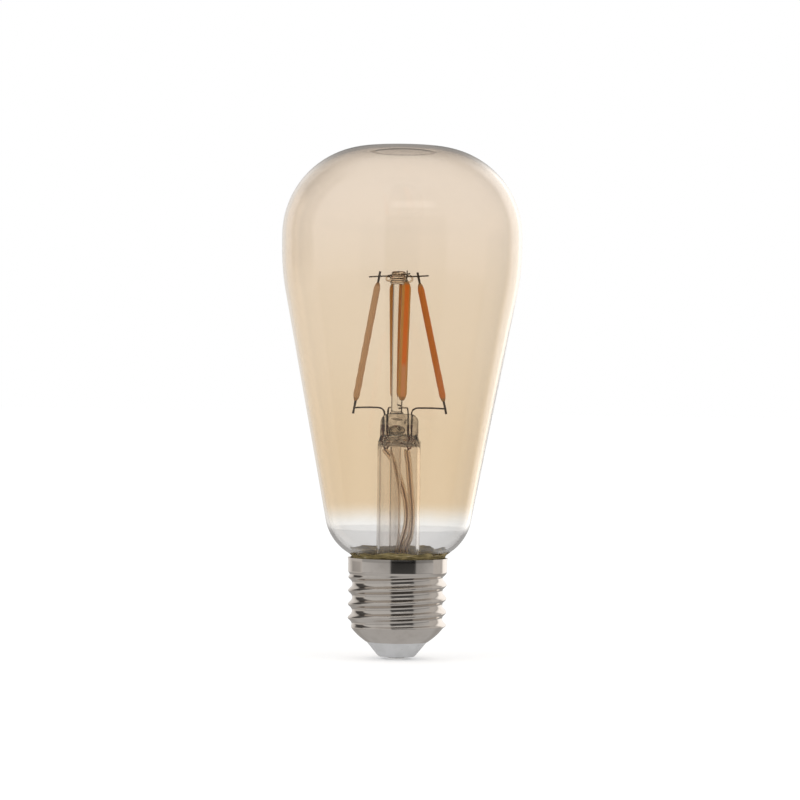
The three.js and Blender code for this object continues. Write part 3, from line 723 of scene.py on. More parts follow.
@dataclass(frozen=True)
class CircuitBoard:
    """Green solder mask with paler copper tracks under it."""

    name: str = "circuit_board"
    mask: Colour = (0.02, 0.13, 0.045)
    track: Colour = (0.05, 0.24, 0.08)

    def material(self) -> bpy.types.Material:
        """Makes the finish's material."""
        recipe = Recipe(self.name, self.mask, 0.35)
        values = {"Vector": recipe.place, "Scale": 1.1 / MM, "Randomness": 0.35}
        cells = recipe.node("TexVoronoi", values, feature="DISTANCE_TO_EDGE", distance="MANHATTAN")
        tracks = recipe.between(cells.outputs["Distance"], 0.05, 0.12)
        recipe.paint(recipe.blend(tracks, self.track, self.mask))
        recipe.bump(tracks, 0.03, 0.5)
        return recipe.material


@dataclass(frozen=True)
class Banded:
    """A lacquered body with rings of colour across its length."""

    name: str
    body: Colour
    bands: Colour
    bands_per_mm: float
    axis: str = "X"
    roughness: float = 0.4
    metallic: float = 0.0

    def material(self) -> bpy.types.Material:
        """Makes the finish's material."""
        recipe = Recipe(self.name, self.body, self.roughness, self.metallic)
        values = {"Vector": recipe.place, "Scale": self.bands_per_mm / MM / 6.3, "Distortion": 0.3}
        wave = recipe.node("TexWave", values, bands_direction=self.axis).outputs["Fac"]
        recipe.paint(recipe.blend(recipe.between(wave, 0.45, 0.6), self.body, self.bands))
        recipe.bump(wave, 0.04, 0.6)
        return recipe.material


class Finish(Enum):
    """The finishes that pieces choose from, by the record's slot names where they have one."""

    AMBER_GLASS = AmberGlass()
    # Both glasses are tinted darker from pinched_from up, the rod glass browner too: painted shade.
    CLEAR_GLASS = ClearGlass(pinched_from=57.2)
    ROD_GLASS = ClearGlass(
        "rod_glass", (0.96, 0.96, 0.95), pinched_from=99.6, pinched=(0.66, 0.54, 0.42), lighter_pinch_shade=(0.86, 0.78, 0.68)
    )
    NICKEL_PLATE = Metal("nickel_plate", (0.66, 0.61, 0.56), (0.60, 0.55, 0.50), 0.08, 0.13, 0.25, 0.001)
    SOLDERED_TIN = Metal("soldered_tin", (0.56, 0.55, 0.53), (0.40, 0.39, 0.37), 0.28, 0.5, 1.5, 0.03)
    NICKEL_WIRE = Metal("nickel_wire", (0.20, 0.175, 0.15), (0.10, 0.085, 0.07), 0.28, 0.5, 1.2, 0.006)
    COPPER_WIRE = Metal("copper_wire", (0.30, 0.13, 0.08), (0.14, 0.06, 0.04), 0.25, 0.5, 1.0, 0.006)
    COPPER_SEAL = Metal("copper_seal", (0.13, 0.035, 0.035), (0.06, 0.02, 0.02), 0.3, 0.5, 1.0, 0.006)
    ALUMINIUM_CAN = Metal("aluminium_can", (0.62, 0.63, 0.64), (0.5, 0.5, 0.51), 0.25, 0.4, 0.6, 0.004, (1, 1, 12))
    WHITE_MOULDING = Moulding("white_moulding", (0.50, 0.50, 0.505), (0.46, 0.46, 0.46), 0.5, 2.5, 0.012, 0.05)
    CEMENT = Streaky("basing_cement", (0.30, 0.235, 0.10), (0.15, 0.115, 0.045), (0.56, 0.49, 0.33))
    CERAMIC = Moulding("ceramic_strip", (0.78, 0.76, 0.70), (0.70, 0.67, 0.6), 0.5, 4, 0.006)
    EPOXY = Moulding("black_epoxy", (0.012, 0.012, 0.013), (0.02, 0.02, 0.021), 0.55, 6, 0.008)
    SLEEVE = WovenSleeve()
    BOARD = CircuitBoard()
    WINDING = Banded("ferrite", (0.035, 0.033, 0.033), (0.33, 0.12, 0.04), 3.0, "Z", 0.4)
    RESISTOR = Banded("resistor_coat", (0.17, 0.36, 0.47), (0.35, 0.06, 0.03), 0.9, "X", 0.35)

    def material(self) -> bpy.types.Material:
        """The finish's one material, made when it is first asked for."""
        if self not in MADE:
            MADE[self] = self.value.material()
        return MADE[self]


MADE: dict[Finish, bpy.types.Material] = {}


# ---------------------------------------------------------------- the globe


@dataclass
class Globe:
    """The blown envelope: tangent arcs from the crown down to the neck, with a real wall."""

    wall: float = 0.8
    crown_share: float = 5.9
    shoulder_share: float = 0.745
    belly_share: float = 2.115
    belly_band: float = 3.0
    bowl_radius: float = 13.0
    bowl_turn: float = 62.5
    fillet_radius: float = 2.5
    fillet_drop: float = 1.4
    dimple_radius: float = 8.4
    dimple_depth: float = 0.32
    dimple_edge: float = 1.5
    steps: int = 160

    def __post_init__(self) -> None:
        """Reads the globe's place from its CAD node."""
        low, high = reach_of("glass_envelope")
        self.foot, self.crown, self.radius = low.z, high.z, high.x
        self.neck_radius = self.measured_neck()
        self.rim = reach_of("screw_shell")[1].z

    def measured_neck(self) -> float:
        """The CAD neck's radius at its foot."""
        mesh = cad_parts["glass_envelope"].data
        rim = [v.co for v in mesh.vertices if v.co.z / MM < self.foot + 0.01]
        return max(co.xy.length for co in rim) / MM

    def neck(self) -> Profile:
        """The outline from the neck's foot up to the straight taper."""
        turn = math.radians(self.bowl_turn)
        reach = self.fillet_radius + self.bowl_radius
        fillet = (self.neck_radius + self.fillet_radius, self.rim - self.fillet_drop)
        bowl = Vector((fillet[0] - reach * math.cos(turn), fillet[1] + reach * math.sin(turn)))
        belly, belly_radius = self.belly()
        apart = belly - bowl
        taper = math.acos((self.bowl_radius - belly_radius) / apart.length) - math.atan2(apart.y, apart.x)
        return tidy(
            [(self.neck_radius, self.foot)],
            arc(*fillet, self.fillet_radius, math.pi, math.pi - turn, 14),
            arc(bowl.x, bowl.y, self.bowl_radius, -turn, -taper, 22),
            arc(belly.x, belly.y, belly_radius, -taper, 0, 16),
        )

    def shoulder(self) -> tuple[float, float, float]:
        """The shoulder arc's radius, its centre's height and the crown's tilt where the two meet."""
        crown_radius, radius = self.crown_share * self.radius, self.shoulder_share * self.radius
        tilt = math.asin((self.radius - radius) / (crown_radius - radius))
        return radius, self.crown - crown_radius + (crown_radius - radius) * math.cos(tilt), tilt

    def belly(self) -> tuple[Vector, float]:
        """The belly arc's centre and radius."""
        radius = self.belly_share * self.radius
        return Vector((self.radius - radius, self.shoulder()[1] - self.belly_band)), radius

    def outside(self) -> Profile:
        """The whole outline, from the neck's foot to the crown on the axis."""
        radius, level, tilt = self.shoulder()
        crown_radius = self.crown_share * self.radius
        outline = tidy(
            self.neck(),
            arc(self.radius - radius, level, radius, 0, UPRIGHT - tilt, 34),
            arc(0, self.crown - crown_radius, crown_radius, UPRIGHT - tilt, UPRIGHT, 26),
        )
        return [(r, z - self.dimple(r) * (z > level)) for r, z in outline]

    def dimple(self, radius: float) -> float:
        """How far the crown is pressed in at a radius."""
        edge = self.dimple_edge / 2
        return self.dimple_depth * (1 - smoothstep(radius, self.dimple_radius - edge, self.dimple_radius + edge))

    def build(self) -> None:
        """Models the globe and puts it in its CAD node's place."""
        outside = self.outside()
        inside = sideways(outside, self.wall)
        inside[0] = (inside[0][0], self.foot)
        inside[-1] = (0, outside[-1][1] - self.wall)
        outside[-1] = (0, outside[-1][1])
        piece = spun("globe", [*reversed(outside), *inside], self.steps)
        install(soften(piece, 50), Finish.AMBER_GLASS.material(), "amber_glass", "glass_envelope")


# ---------------------------------------------------------------- the screw cap


@dataclass
class ScrewCap:
    """The rolled shell, its insulator, the contact under it and the cement inside its rim."""

    pitch: float = 3.629
    depth: float = 1.1
    turns: float = 3.6
    crest_lead: float = 0.15
    bowl_height: float = 4.3
    mouth_radius: float = 8.3
    rim_step: float = 0.05
    rim_roll: float = 0.12
    wall: float = 0.3
    steps: int = 216
    rows_per_pitch: int = 30

    def __post_init__(self) -> None:
        """Reads the shell's place from its CAD node."""
        low, high = reach_of("screw_shell")
        self.foot, self.rim = low.z, high.z
        self.rim_radius = 13.15 + self.rim_step
        self.mean_radius = self.rim_radius - self.rim_step - self.depth / 2
        self.thread_foot = self.foot + self.bowl_height
        self.thread_top = self.thread_foot + self.turns * self.pitch

    def wave(self, height: float, angle: float) -> float:
        """How far the thread stands out at a height and an angle."""
        rise = smoothstep(height, self.thread_foot - 1.1, self.thread_foot + 0.5)
        run_out = 1 - smoothstep(height, self.thread_top - 0.3, self.thread_top + 0.9)
        phase = 2 * math.pi * (height - self.thread_foot - self.crest_lead) / self.pitch - angle
        shape = math.cos(phase) + 0.16 * math.cos(2 * phase) - 0.16
        return self.depth / 2 * rise * run_out * shape

    def shell_outline(self) -> Profile:
        """The shell's outside without its thread, from the mouth up to the rolled rim."""
        bowl_radius = self.mouth_radius + (self.mean_radius - self.mouth_radius) * 0.72
        ends = [
            (self.mouth_radius, self.foot),
            (bowl_radius, self.foot + self.bowl_height / 2),
            (self.mean_radius, self.thread_foot),
        ]
        bowl = []
        for i in range(25):
            t = i / 24
            weights = ((1 - t) ** 2, 2 * t * (1 - t), t * t)
            bowl.append(tuple(sum(w * p[axis] for w, p in zip(weights, ends)) for axis in (0, 1)))
        rows = round(self.turns * self.rows_per_pitch)
        height = self.thread_top - self.thread_foot
        thread = [(self.mean_radius, self.thread_foot + height * i / rows) for i in range(rows + 1)]
        waist = [
            (
                self.mean_radius + (self.rim_radius - self.mean_radius) * smoothstep(i, 0, 12),
                self.thread_top + 1.5 * i / 12,
            )
            for i in range(13)
        ]
        roll = [(self.rim_radius, self.rim - 0.9), (self.rim_radius + self.rim_roll * 0.4, self.rim - 0.5)]
        return tidy(bowl, thread, waist, roll, [(self.rim_radius + self.rim_roll, self.rim)])

    def shell(self) -> None:
        """Models the shell: a spun sheet, with the thread rolled into it."""
        outside = self.shell_outline()
        inside = list(reversed(sideways(outside, self.wall)))
        piece = spun("shell", [*outside, *inside, outside[0]], self.steps)

        def roll(place: Vector) -> Vector:
            """Rolls the thread into one point."""
            grow = 1 + self.wave(place.z, math.atan2(place.y, place.x)) / place.xy.length
            return Vector((place.x * grow, place.y * grow, place.z))

        self.smooth_thread(soften(reshape(piece, roll)))
        install(piece, Finish.NICKEL_PLATE.material(), "nickel_plate", "screw_shell")

    def smooth_thread(self, piece: bpy.types.Object) -> None:
        """Gives the thread's points the exact slope of its wave, so that its flats do not show.

        Args:
            piece: The shell, with its thread rolled in.
        """
        mesh, step = piece.data, 0.01
        normals = [Vector(corner.vector) for corner in mesh.corner_normals]
        exact: dict[int, Vector] = {}
        for vertex in mesh.vertices:
            place = vertex.co / MM
            if not self.thread_foot < place.z < self.thread_top:
                continue
            angle, radius = math.atan2(place.y, place.x), place.xy.length
            rise = (self.wave(place.z + step, angle) - self.wave(place.z - step, angle)) / (2 * step)
            turn = (self.wave(place.z, angle + step) - self.wave(place.z, angle - step)) / (2 * step * radius)
            out, round_axis = Vector((math.cos(angle), math.sin(angle), 0)), Vector((-math.sin(angle), math.cos(angle), 0))
            side = math.copysign(1, vertex.normal.dot(out))
            exact[vertex.index] = (out - round_axis * turn - Vector((0, 0, rise))).normalized() * side
        for loop in mesh.loops:
            normals[loop.index] = exact.get(loop.vertex_index, normals[loop.index])
        mesh.normals_split_custom_set(normals)

    def insulator(self) -> None:
        """Models the insulator's cone, with its rounded foot and its recess."""
        low, high = reach_of("insulator")
        foot, shoulder = low.z, self.mouth_radius - 0.2
        flange_foot = self.foot + self.wall + 0.6
        piece = spun(
            "insulator_cone",
            tidy(
                [(1.2, foot), (4.45, foot)],
                arc(4.45, foot + 0.75, 0.75, -UPRIGHT, -0.68, 8),
                [(shoulder, self.foot), (shoulder, flange_foot)],
                [(high.x, flange_foot), (high.x, high.z - 0.2), (high.x - 0.2, high.z)],
                [(6.4, high.z), (6.4, foot + 2.7), (6.1, foot + 2.4), (1.2, foot + 2.4), (1.2, foot)],
            ),
            96,
        )
        install(soften(piece, 28), Finish.WHITE_MOULDING.material(), "white_moulding", "insulator")

    def contact(self) -> None:
        """Models the contact: a rivet's flat face with a soldered edge."""
        low, high = reach_of("centre_contact")
        head = 0.4
        piece = spun(
            "contact_rivet",
            tidy(
                [(0, low.z), (1.7, low.z)],
                arc(1.95, low.z + 0.3, 0.3, -UPRIGHT, 0.3, 6),
                [(2.4, head), (1.1, head), (1.1, high.z - 0.15), (0.95, high.z), (0, high.z)],
            ),
            64,
        )
        install(soften(piece, 30), Finish.SOLDERED_TIN.material(), "soldered_tin", "centre_contact")

    def cement(self, globe: Globe) -> None:
        """Models the cement: a ring inside the rim, squeezed out unevenly along the glass above it.

        Args:
            globe: The globe whose neck the cement is wet to.
        """
        low = reach_of("basing_cement")[0].z
        sheet = self.rim_radius - self.wall - 0.06
        film, reach = 0.04, 2.4
        root = globe.neck_radius + film
        squeezed = [(0.62, 0.35), (0.6, 0.65), (0.36, 0.95), (0.17, 1.3), (0.1, 1.75), (film + 0.01, reach)]
        outline = tidy(
            [(root, low)],
            [(root, self.rim + reach * i / 12) for i in range(13)],
            [(globe.neck_radius + off, self.rim + along) for off, along in reversed(squeezed)],
            [(sheet, self.rim - 0.3), (sheet, self.rim - 2.4), (12.0, low), (root, low)],
        )
        piece = spun("cement_ring", outline, 288)
        glass = globe.neck()
        turn = [i for i, (r, z) in enumerate(glass) if r > globe.neck_radius + 1e-6][0] - 1

        def squeeze(place: Vector) -> Vector:
            """Lays one point of the ring along the glass: above the rim its height is a way along it."""
            angle = math.atan2(place.y, place.x)
            round_noise = noise.noise(Vector((math.cos(angle), math.sin(angle), 0)) * 2.6)
            fine_noise = noise.noise(Vector((math.cos(angle), math.sin(angle), 0.3)) * 8)
            height, off = place.z, place.xy.length - globe.neck_radius
            share = smoothstep(height, self.rim - 0.5, self.rim + 0.6)
            stretch = 1 + share * (0.4 * round_noise + 0.16 * fine_noise + 0.15 * abs(math.sin(angle)) ** 3)
            way = max(height - glass[turn][1], 0) * stretch
            i = turn
            while i < len(glass) - 2 and way > math.dist(glass[i], glass[i + 1]):
                way -= math.dist(glass[i], glass[i + 1])
                i += 1
            (r0, z0), (r1, z1) = glass[i], glass[i + 1]
            length = math.dist((r0, z0), (r1, z1))
            foot = min(height, glass[turn][1])
            radius, level = r0 + (r1 - r0) * way / length, z0 + (z1 - z0) * way / length
            normal = Vector(((z1 - z0) / length, -(r1 - r0) / length))
            lump = off * (1 + share * (0.3 * fine_noise + 0.25 * noise.noise(place * 1.4)))
            if height < glass[turn][1]:
                radius, level, normal = globe.neck_radius, foot, Vector((1, 0))
            outer = Vector((radius, level)) + normal * lump
            if share < 1:
                outer = outer.lerp(Vector((place.xy.length, height)), 1 - share)
                outer.x = min(outer.x, sheet) if outer.y < self.rim else outer.x
            return Vector((outer.x * math.cos(angle), outer.x * math.sin(angle), outer.y))

        install(soften(reshape(piece, squeeze), 60), Finish.CEMENT.material(), "basing_cement", "basing_cement")

    def build(self, globe: Globe) -> None:
        """Models the whole cap.

        Args:
            globe: The globe that it is cemented to.
        """
        self.shell()
        self.insulator()
        self.contact()
        self.cement(globe)


# ---------------------------------------------------------------- the glass stem


@dataclass
class Stem:
    """The flared tube with its flattened press, the tube and rod inside it and the ringed button."""

    radius: float = 5.75
    wall: float = 0.8
    press_height: float = 7.8
    press_thickness: float = 4.4
    press_inset: float = 0.7
    corner: float = 2.2
    squareness: float = 0.55
    rod_radius: float = 1.6
    exhaust_radius: float = 1.45
    exhaust_wall: float = 0.35
    button_rings: int = 3
    steps: int = 112

    def __post_init__(self) -> None:
        """Reads the stem's place from its CAD nodes."""
        low, high = reach_of("stem_tube")
        self.foot, self.top, self.flare_radius = low.z, high.z, high.x
        self.shoulder = self.top - self.press_height
        self.rod_x = middle_of("support_rod").x
        self.exhaust = middle_of("exhaust_tube")

    def tube_outline(self) -> Profile:
        """The tube's outside, from the flare's rim to the top of the press on the axis."""
        ends = [
            (self.flare_radius, self.foot),
            (self.radius + 0.9, self.foot + 2.2),
            (self.radius, self.foot + 6.2),
            (self.radius, self.foot + 9.2),
        ]
        flare = []
        for i in range(25):
            t = i / 24
            weights = ((1 - t) ** 3, 3 * t * (1 - t) ** 2, 3 * t * t * (1 - t), t**3)
            flare.append(tuple(sum(w * p[axis] for w, p in zip(weights, ends)) for axis in (0, 1)))
        press = self.radius - self.press_inset
        neck = []
        for i in range(13):
            share = smoothstep(i, 0, 12)
            neck.append((self.radius - self.press_inset * share, self.shoulder - 0.2 + 2.4 * i / 12))
        return tidy(
            flare,
            [(self.radius, self.foot + 9.2 + (self.shoulder - self.foot - 10.6) * i / 8) for i in range(1, 9)],
            neck,
            [(press, self.top - self.corner - 1.2)],
            arc(press - self.corner, self.top - self.corner, self.corner, 0, UPRIGHT, 12),
            [(press * 0.3, self.top + 0.02), (0, self.top + 0.02)],
        )

    def flatten(self, place: Vector) -> Vector:
        """Pinches one point of the round tube into the press."""
        share = smoothstep(place.z, self.shoulder - 0.1, self.shoulder + 2.3)
        length = place.xy.length
        if not share or length < 1e-6:
            return place
        angle = math.atan2(place.y, place.x)
        across = math.copysign(abs(math.cos(angle)) ** (1 - share * (1 - self.squareness)), place.x)
        back = math.copysign(abs(math.sin(angle)) ** (1 - share * (1 - self.squareness)), place.y)
        thin = 1 + share * (self.press_thickness / 2 / (self.radius - self.press_inset) - 1)
        near = smoothstep(place.z, self.shoulder - 2.2, self.shoulder) * (
            1 - smoothstep(place.z, self.shoulder + 2.5, self.shoulder + 5)
        )
        sway = noise.noise_vector(place * 0.55) * near
        return Vector((length * across + 0.22 * sway.x, length * back * thin + 0.3 * sway.y, place.z + 0.55 * sway.z))

    def bubble(self, centre: Sequence[float], size: Sequence[float], turn: float = 0) -> bpy.types.Object:
        """A pocket of gas in the press: a small closed skin that faces inwards.

        Args:
            centre: Its middle, in millimetres.
            size: Its three half-lengths, in millimetres.
            turn: How far it leans in the plane that faces the camera, in radians.

        Returns:
            The pocket.
        """
        deselect()
        place = [c * MM for c in centre]
        bpy.ops.mesh.primitive_uv_sphere_add(segments=32, ring_count=20, radius=MM, location=place)
        pocket = bpy.context.object
        pocket.scale = size
        pocket.rotation_euler = (0, turn, 0)
        settle(pocket)
        bpy.ops.object.mode_set(mode="EDIT")
        bpy.ops.mesh.select_all(action="SELECT")
        bpy.ops.mesh.flip_normals()
        bpy.ops.object.mode_set(mode="OBJECT")
        return pocket

    def tube(self) -> None:
        """Models the tube, its press and the pockets in it."""
        outside = self.tube_outline()
        lower = [p for p in outside if p[1] <= self.shoulder - 1.6]
        ceiling = self.shoulder + 0.1
        bore = self.radius - self.wall
        inside = [*sideways(lower, self.wall), (bore, ceiling - 1.3)]
        dome = [(bore - 0.1, ceiling - 0.9), (bore - 0.45, ceiling - 0.4), (bore - 1.1, ceiling - 0.1)]
        inside = tidy(inside, dome, [(2.4, ceiling + 0.1), (0, ceiling + 0.05)])
        inside[0] = (inside[0][0], self.foot)
        tube = reshape(spun("stem", [*reversed(outside), *inside], self.steps), self.flatten)
        x, y = self.exhaust.x, self.exhaust.y
        pockets = [
            self.bubble((x + 0.1, -0.2, self.shoulder + 3.3), (2.35, 0.8, 1.5)),
            self.bubble((x - 1.3, -1.2, self.shoulder + 3.9), (0.45, 0.3, 0.6), 0.2),
            self.bubble((x + 0.9, -1.25, self.shoulder + 4.0), (0.5, 0.3, 0.75), -0.15),
            self.bubble((x + 0.2, -1.1, self.shoulder + 6.3), (1.5, 0.25, 0.3), 0.1),
            self.bubble((x + 2.4, 0.9, self.shoulder + 5.6), (0.3, 0.25, 0.7), 0.5),
            self.bubble((x - 2.2, 0.8, self.shoulder + 2.0), (0.8, 0.2, 0.25), -0.6),
        ]
        piece = joined("stem", [soften(tube, 50), *(soften(p, 90) for p in pockets)])
        install(piece, Finish.CLEAR_GLASS.material(), "clear_glass", "stem_tube")

    def exhaust_tube(self) -> None:
        """Models the thin exhaust tube with its drawn-off tip."""
        low, high = reach_of("exhaust_tube")
        bore = self.exhaust_radius - self.exhaust_wall
        tip = [
            (self.exhaust_radius * math.sin(i * UPRIGHT / 8) ** 0.9, low.z + 2.2 * (1 - math.cos(i * UPRIGHT / 8)))
            for i in range(9)
        ]
        inner = [
            (bore * math.sin(i * UPRIGHT / 8), low.z + 1.2 + 1.6 * (1 - math.cos(i * UPRIGHT / 8)))
            for i in range(8, -1, -1)
        ]
        outline = tidy(tip, [(self.exhaust_radius, high.z), (bore, high.z)], inner)
        piece = spun("exhaust", outline, 40, (self.exhaust.x, self.exhaust.y))
        install(soften(piece, 50), Finish.CLEAR_GLASS.material(), "clear_glass", "exhaust_tube")

    def rod(self) -> None:
        """Models the support rod, spread where it is fused into the press."""
        low, high = reach_of("support_rod")
        radius = self.rod_radius - 0.08
        outline = tidy(
            [(0, self.top - 0.1), (radius + 0.5, self.top - 0.1)],
            [(radius + 0.5 * (1 - math.sin(t)), self.top + 0.6 * t) for t in (0.1, 0.4, 0.8, 1.2, UPRIGHT)],
            [(radius, high.z - 0.3), (radius * 0.93, high.z), (0, high.z)],
        )
        piece = spun("rod", outline, 48, (self.rod_x, 0))
        install(soften(piece, 50), Finish.ROD_GLASS.material(), "clear_glass", "support_rod")

    def button(self) -> None:
        """Models the ringed button with the glass drawn round the wires beside it."""
        low, high = reach_of("wire_button")
        height, radius = high.z - low.z, (high.x - low.x) / 2
        ring = height / self.button_rings
        rings = []
        for i in range(self.button_rings):
            swell = radius * (1, 0.93, 0.84)[i]
            rings += [
                (swell - 0.42 * (1 - math.sin(math.pi * j / 8)), low.z + ring * (i + j / 8)) for j in range(1, 8)
            ]
        crest = [(radius * 0.62, high.z), (radius * 0.5, high.z - 0.12), (0, high.z - 0.5)]
        body = spun("button", tidy([(0, low.z), (radius * 0.75, low.z)], rings, crest), 56, (self.rod_x, 0))
        ears = []
        for side, size in ((-1, 0.62), (1, 0.82)):
            deselect()
            place = Vector((self.rod_x + side * (radius + size * 0.55), -0.3, low.z + height * 0.42)) * MM
            bpy.ops.mesh.primitive_torus_add(
                location=place,
                rotation=(UPRIGHT, 0, 0),
                major_radius=size * MM,
                minor_radius=0.26 * MM,
                major_segments=32,
                minor_segments=12,
            )
            settle(bpy.context.object)
            ears.append(bpy.context.object)
        piece = joined("button", [soften(body, 60), *(soften(e, 180) for e in ears)])
        install(piece, Finish.ROD_GLASS.material(), "clear_glass", "wire_button")

    def build(self) -> None:
        """Models the whole stem."""
        self.tube()
        self.exhaust_tube()
        self.rod()
        self.button()


# ---------------------------------------------------------------- wires


@dataclass
class Wires:
    """The cross wires, the lead wires with their seals, and the outer leads in their sleeves."""

    wire_radius: float = 0.23
    cross_radius: float = 0.19
    seal_radius: float = 0.28
    lead_radius: float = 0.25
    sleeve_radius: float = 0.88
    sleeve_wall: float = 0.3
    bend: float = 1.9
    sides: tuple[str, ...] = ("left", "right", "front", "back")
    routes: dict[str, list[tuple[float, float, float]]] = field(
        default_factory=lambda: {
            "left": [
                (1.6, -0.94, 0.1),
                (3.4, -0.6, 0.34),
                (6.6, -0.23, 0.44),
                (10.0, 0.1, 0.48),
                (14.0, 0.42, 0.55),
                (18.0, 0.58, 0.56),
                (21.6, 0.56, 0.54),
                (25.2, 0.36, 0.54),
                (28.0, 0.14, 0.56),
                (33.0, 0.02, 0.58),
                (38.6, 0.0, 0.6),
            ],
            "right": [
                (1.6, 0.56, 0.0),
                (4.8, 0.63, 0.02),
                (9.4, 0.73, 0.03),
                (14.0, 0.84, 0.02),
                (18.0, 0.92, 0.02),
                (21.6, 0.92, 0.04),
                (24.8, 0.82, 0.08),
                (28.0, 0.56, 0.12),
                (33.0, 0.5, 0.14),
                (38.6, 0.54, 0.16),
            ],
        }
    )

    def cross_wires(self) -> None:
        """Models the two wires through the button, cut off by hand."""
        material = Finish.NICKEL_WIRE.material()
        for name, lean in (("side", 0.0), ("front", -1.0)):
            node = f"cross_wire_{name}"
            low, high = reach_of(node)
            middle = (low + high) / 2
            ends = [Vector((low.x, high.y, middle.z)), Vector((high.x, low.y, middle.z))]
            if not lean:
                ends = [Vector((low.x, middle.y, middle.z - 0.25)), Vector((high.x, middle.y, middle.z + 0.25))]
            sag = Vector((0, 0, 0.12))
            path = smooth_path([ends[0], ends[0].lerp(ends[1], 0.3) + sag, ends[0].lerp(ends[1], 0.7) - sag, ends[1]])
            install(piped(f"support_wire_{name}", path, self.cross_radius), material, "nickel_wire", node)

    def lead_wires(self) -> None:
        """Models the four wires out of the press and over to the filaments' feet."""
        material = Finish.NICKEL_WIRE.material()
        for side in self.sides:
            node = f"lead_wire_{side}"
            low, high = reach_of(node)
            seal = middle_of(f"dumet_seal_{side}")
            level = high.z - self.wire_radius
            corner = Vector((seal.x, seal.y, level))
            far = Vector(
                (
                    low.x if corner.x - low.x > high.x - corner.x else high.x,
                    low.y if corner.y - low.y > high.y - corner.y else high.y,
                    level - 0.1,
                )
            )
            slack = corner.lerp(far, 0.55) + Vector((0, 0, 0.14))
            path = rounded_path([Vector((seal.x, seal.y, low.z)), corner, slack, far], self.bend, 12)
            install(piped(f"inner_wire_{side}", path, self.wire_radius), material, "nickel_wire", node)

    def seals(self) -> None:
        """Models the copper-sheathed seals inside the press."""
        material = Finish.COPPER_SEAL.material()
        for side in self.sides:
            node = f"dumet_seal_{side}"
            low, high = reach_of(node)
            x, y = middle_of(node).xy
            swell = self.seal_radius
            outline = [(0, low.z), (swell * 0.8, low.z), (swell, low.z + 0.25), (swell, high.z - 0.25)]
            piece = spun(f"seal_{side}", [*outline, (swell * 0.8, high.z), (0, high.z)], 24, (x, y))
            install(soften(piece), material, "copper_wire", node)

    def lead_path(self, side: str, stem: Stem) -> list[Vector]:
        """The curve of one outer lead, from its seal down to the board.

        Args:
            side: Which of the two leads.
            stem: The stem that it runs down.

        Returns:
            The points of the curve.
        """
        room = stem.radius - stem.wall - 0.9 - 0.05
        seal = middle_of(f"dumet_seal_{side}")
        board_low, board_high = reach_of("driver_board")
        top = stem.shoulder
        route = [Vector((x * room, y * room, top - drop)) for drop, x, y in self.routes[side]]
        end = route[-1]
        return smooth_path(
            [
                Vector((seal.x, seal.y, reach_of(f"dumet_seal_{side}")[0].z)),
                Vector((seal.x, seal.y, top - 0.7)),
                *route,
                Vector((end.x, end.y, board_high.z + 1)),
                Vector((end.x, end.y, board_low.z - 0.6)),
            ]
        )

    def outer_leads(self, stem: Stem) -> None:
        """Models the two leads down the stem, forked at the top, with a sleeve on each.

        Args:
            stem: The stem that they run down.
        """
        for side, partner in (("left", "back"), ("right", "front")):
            path = self.lead_path(side, stem)
            main = piped("lead", path, self.lead_radius)
            near, far = middle_of(f"dumet_seal_{side}"), middle_of(f"dumet_seal_{partner}")
            joint, foot = stem.shoulder - 1.05, reach_of(f"dumet_seal_{partner}")[0].z
            corners = [(far.x, far.y, foot), (far.x, far.y, joint), (near.x, near.y, joint)]
            fork = piped("fork", rounded_path([Vector(c) for c in corners], 0.3), self.lead_radius * 0.9)
            lead = joined(f"stem_lead_{side}", [main, fork])
            install(lead, Finish.COPPER_WIRE.material(), "copper_wire", f"outer_lead_{side}")
            low, high = reach_of(f"lead_sleeve_{side}")
            covered = [p for p in path if low.z + 0.1 < p.z < high.z - 0.1]
            sleeve = piped(f"sleeve_{side}", covered, self.sleeve_radius, 7, self.sleeve_wall)
            install(sleeve, Finish.SLEEVE.material(), "glass_fibre_sleeve", f"lead_sleeve_{side}")

    def build(self, stem: Stem) -> None:
        """Models every wire.

        Args:
            stem: The stem that the outer leads run down.
        """
        self.cross_wires()
        self.lead_wires()
        self.seals()
        self.outer_leads(stem)


# ---------------------------------------------------------------- filaments


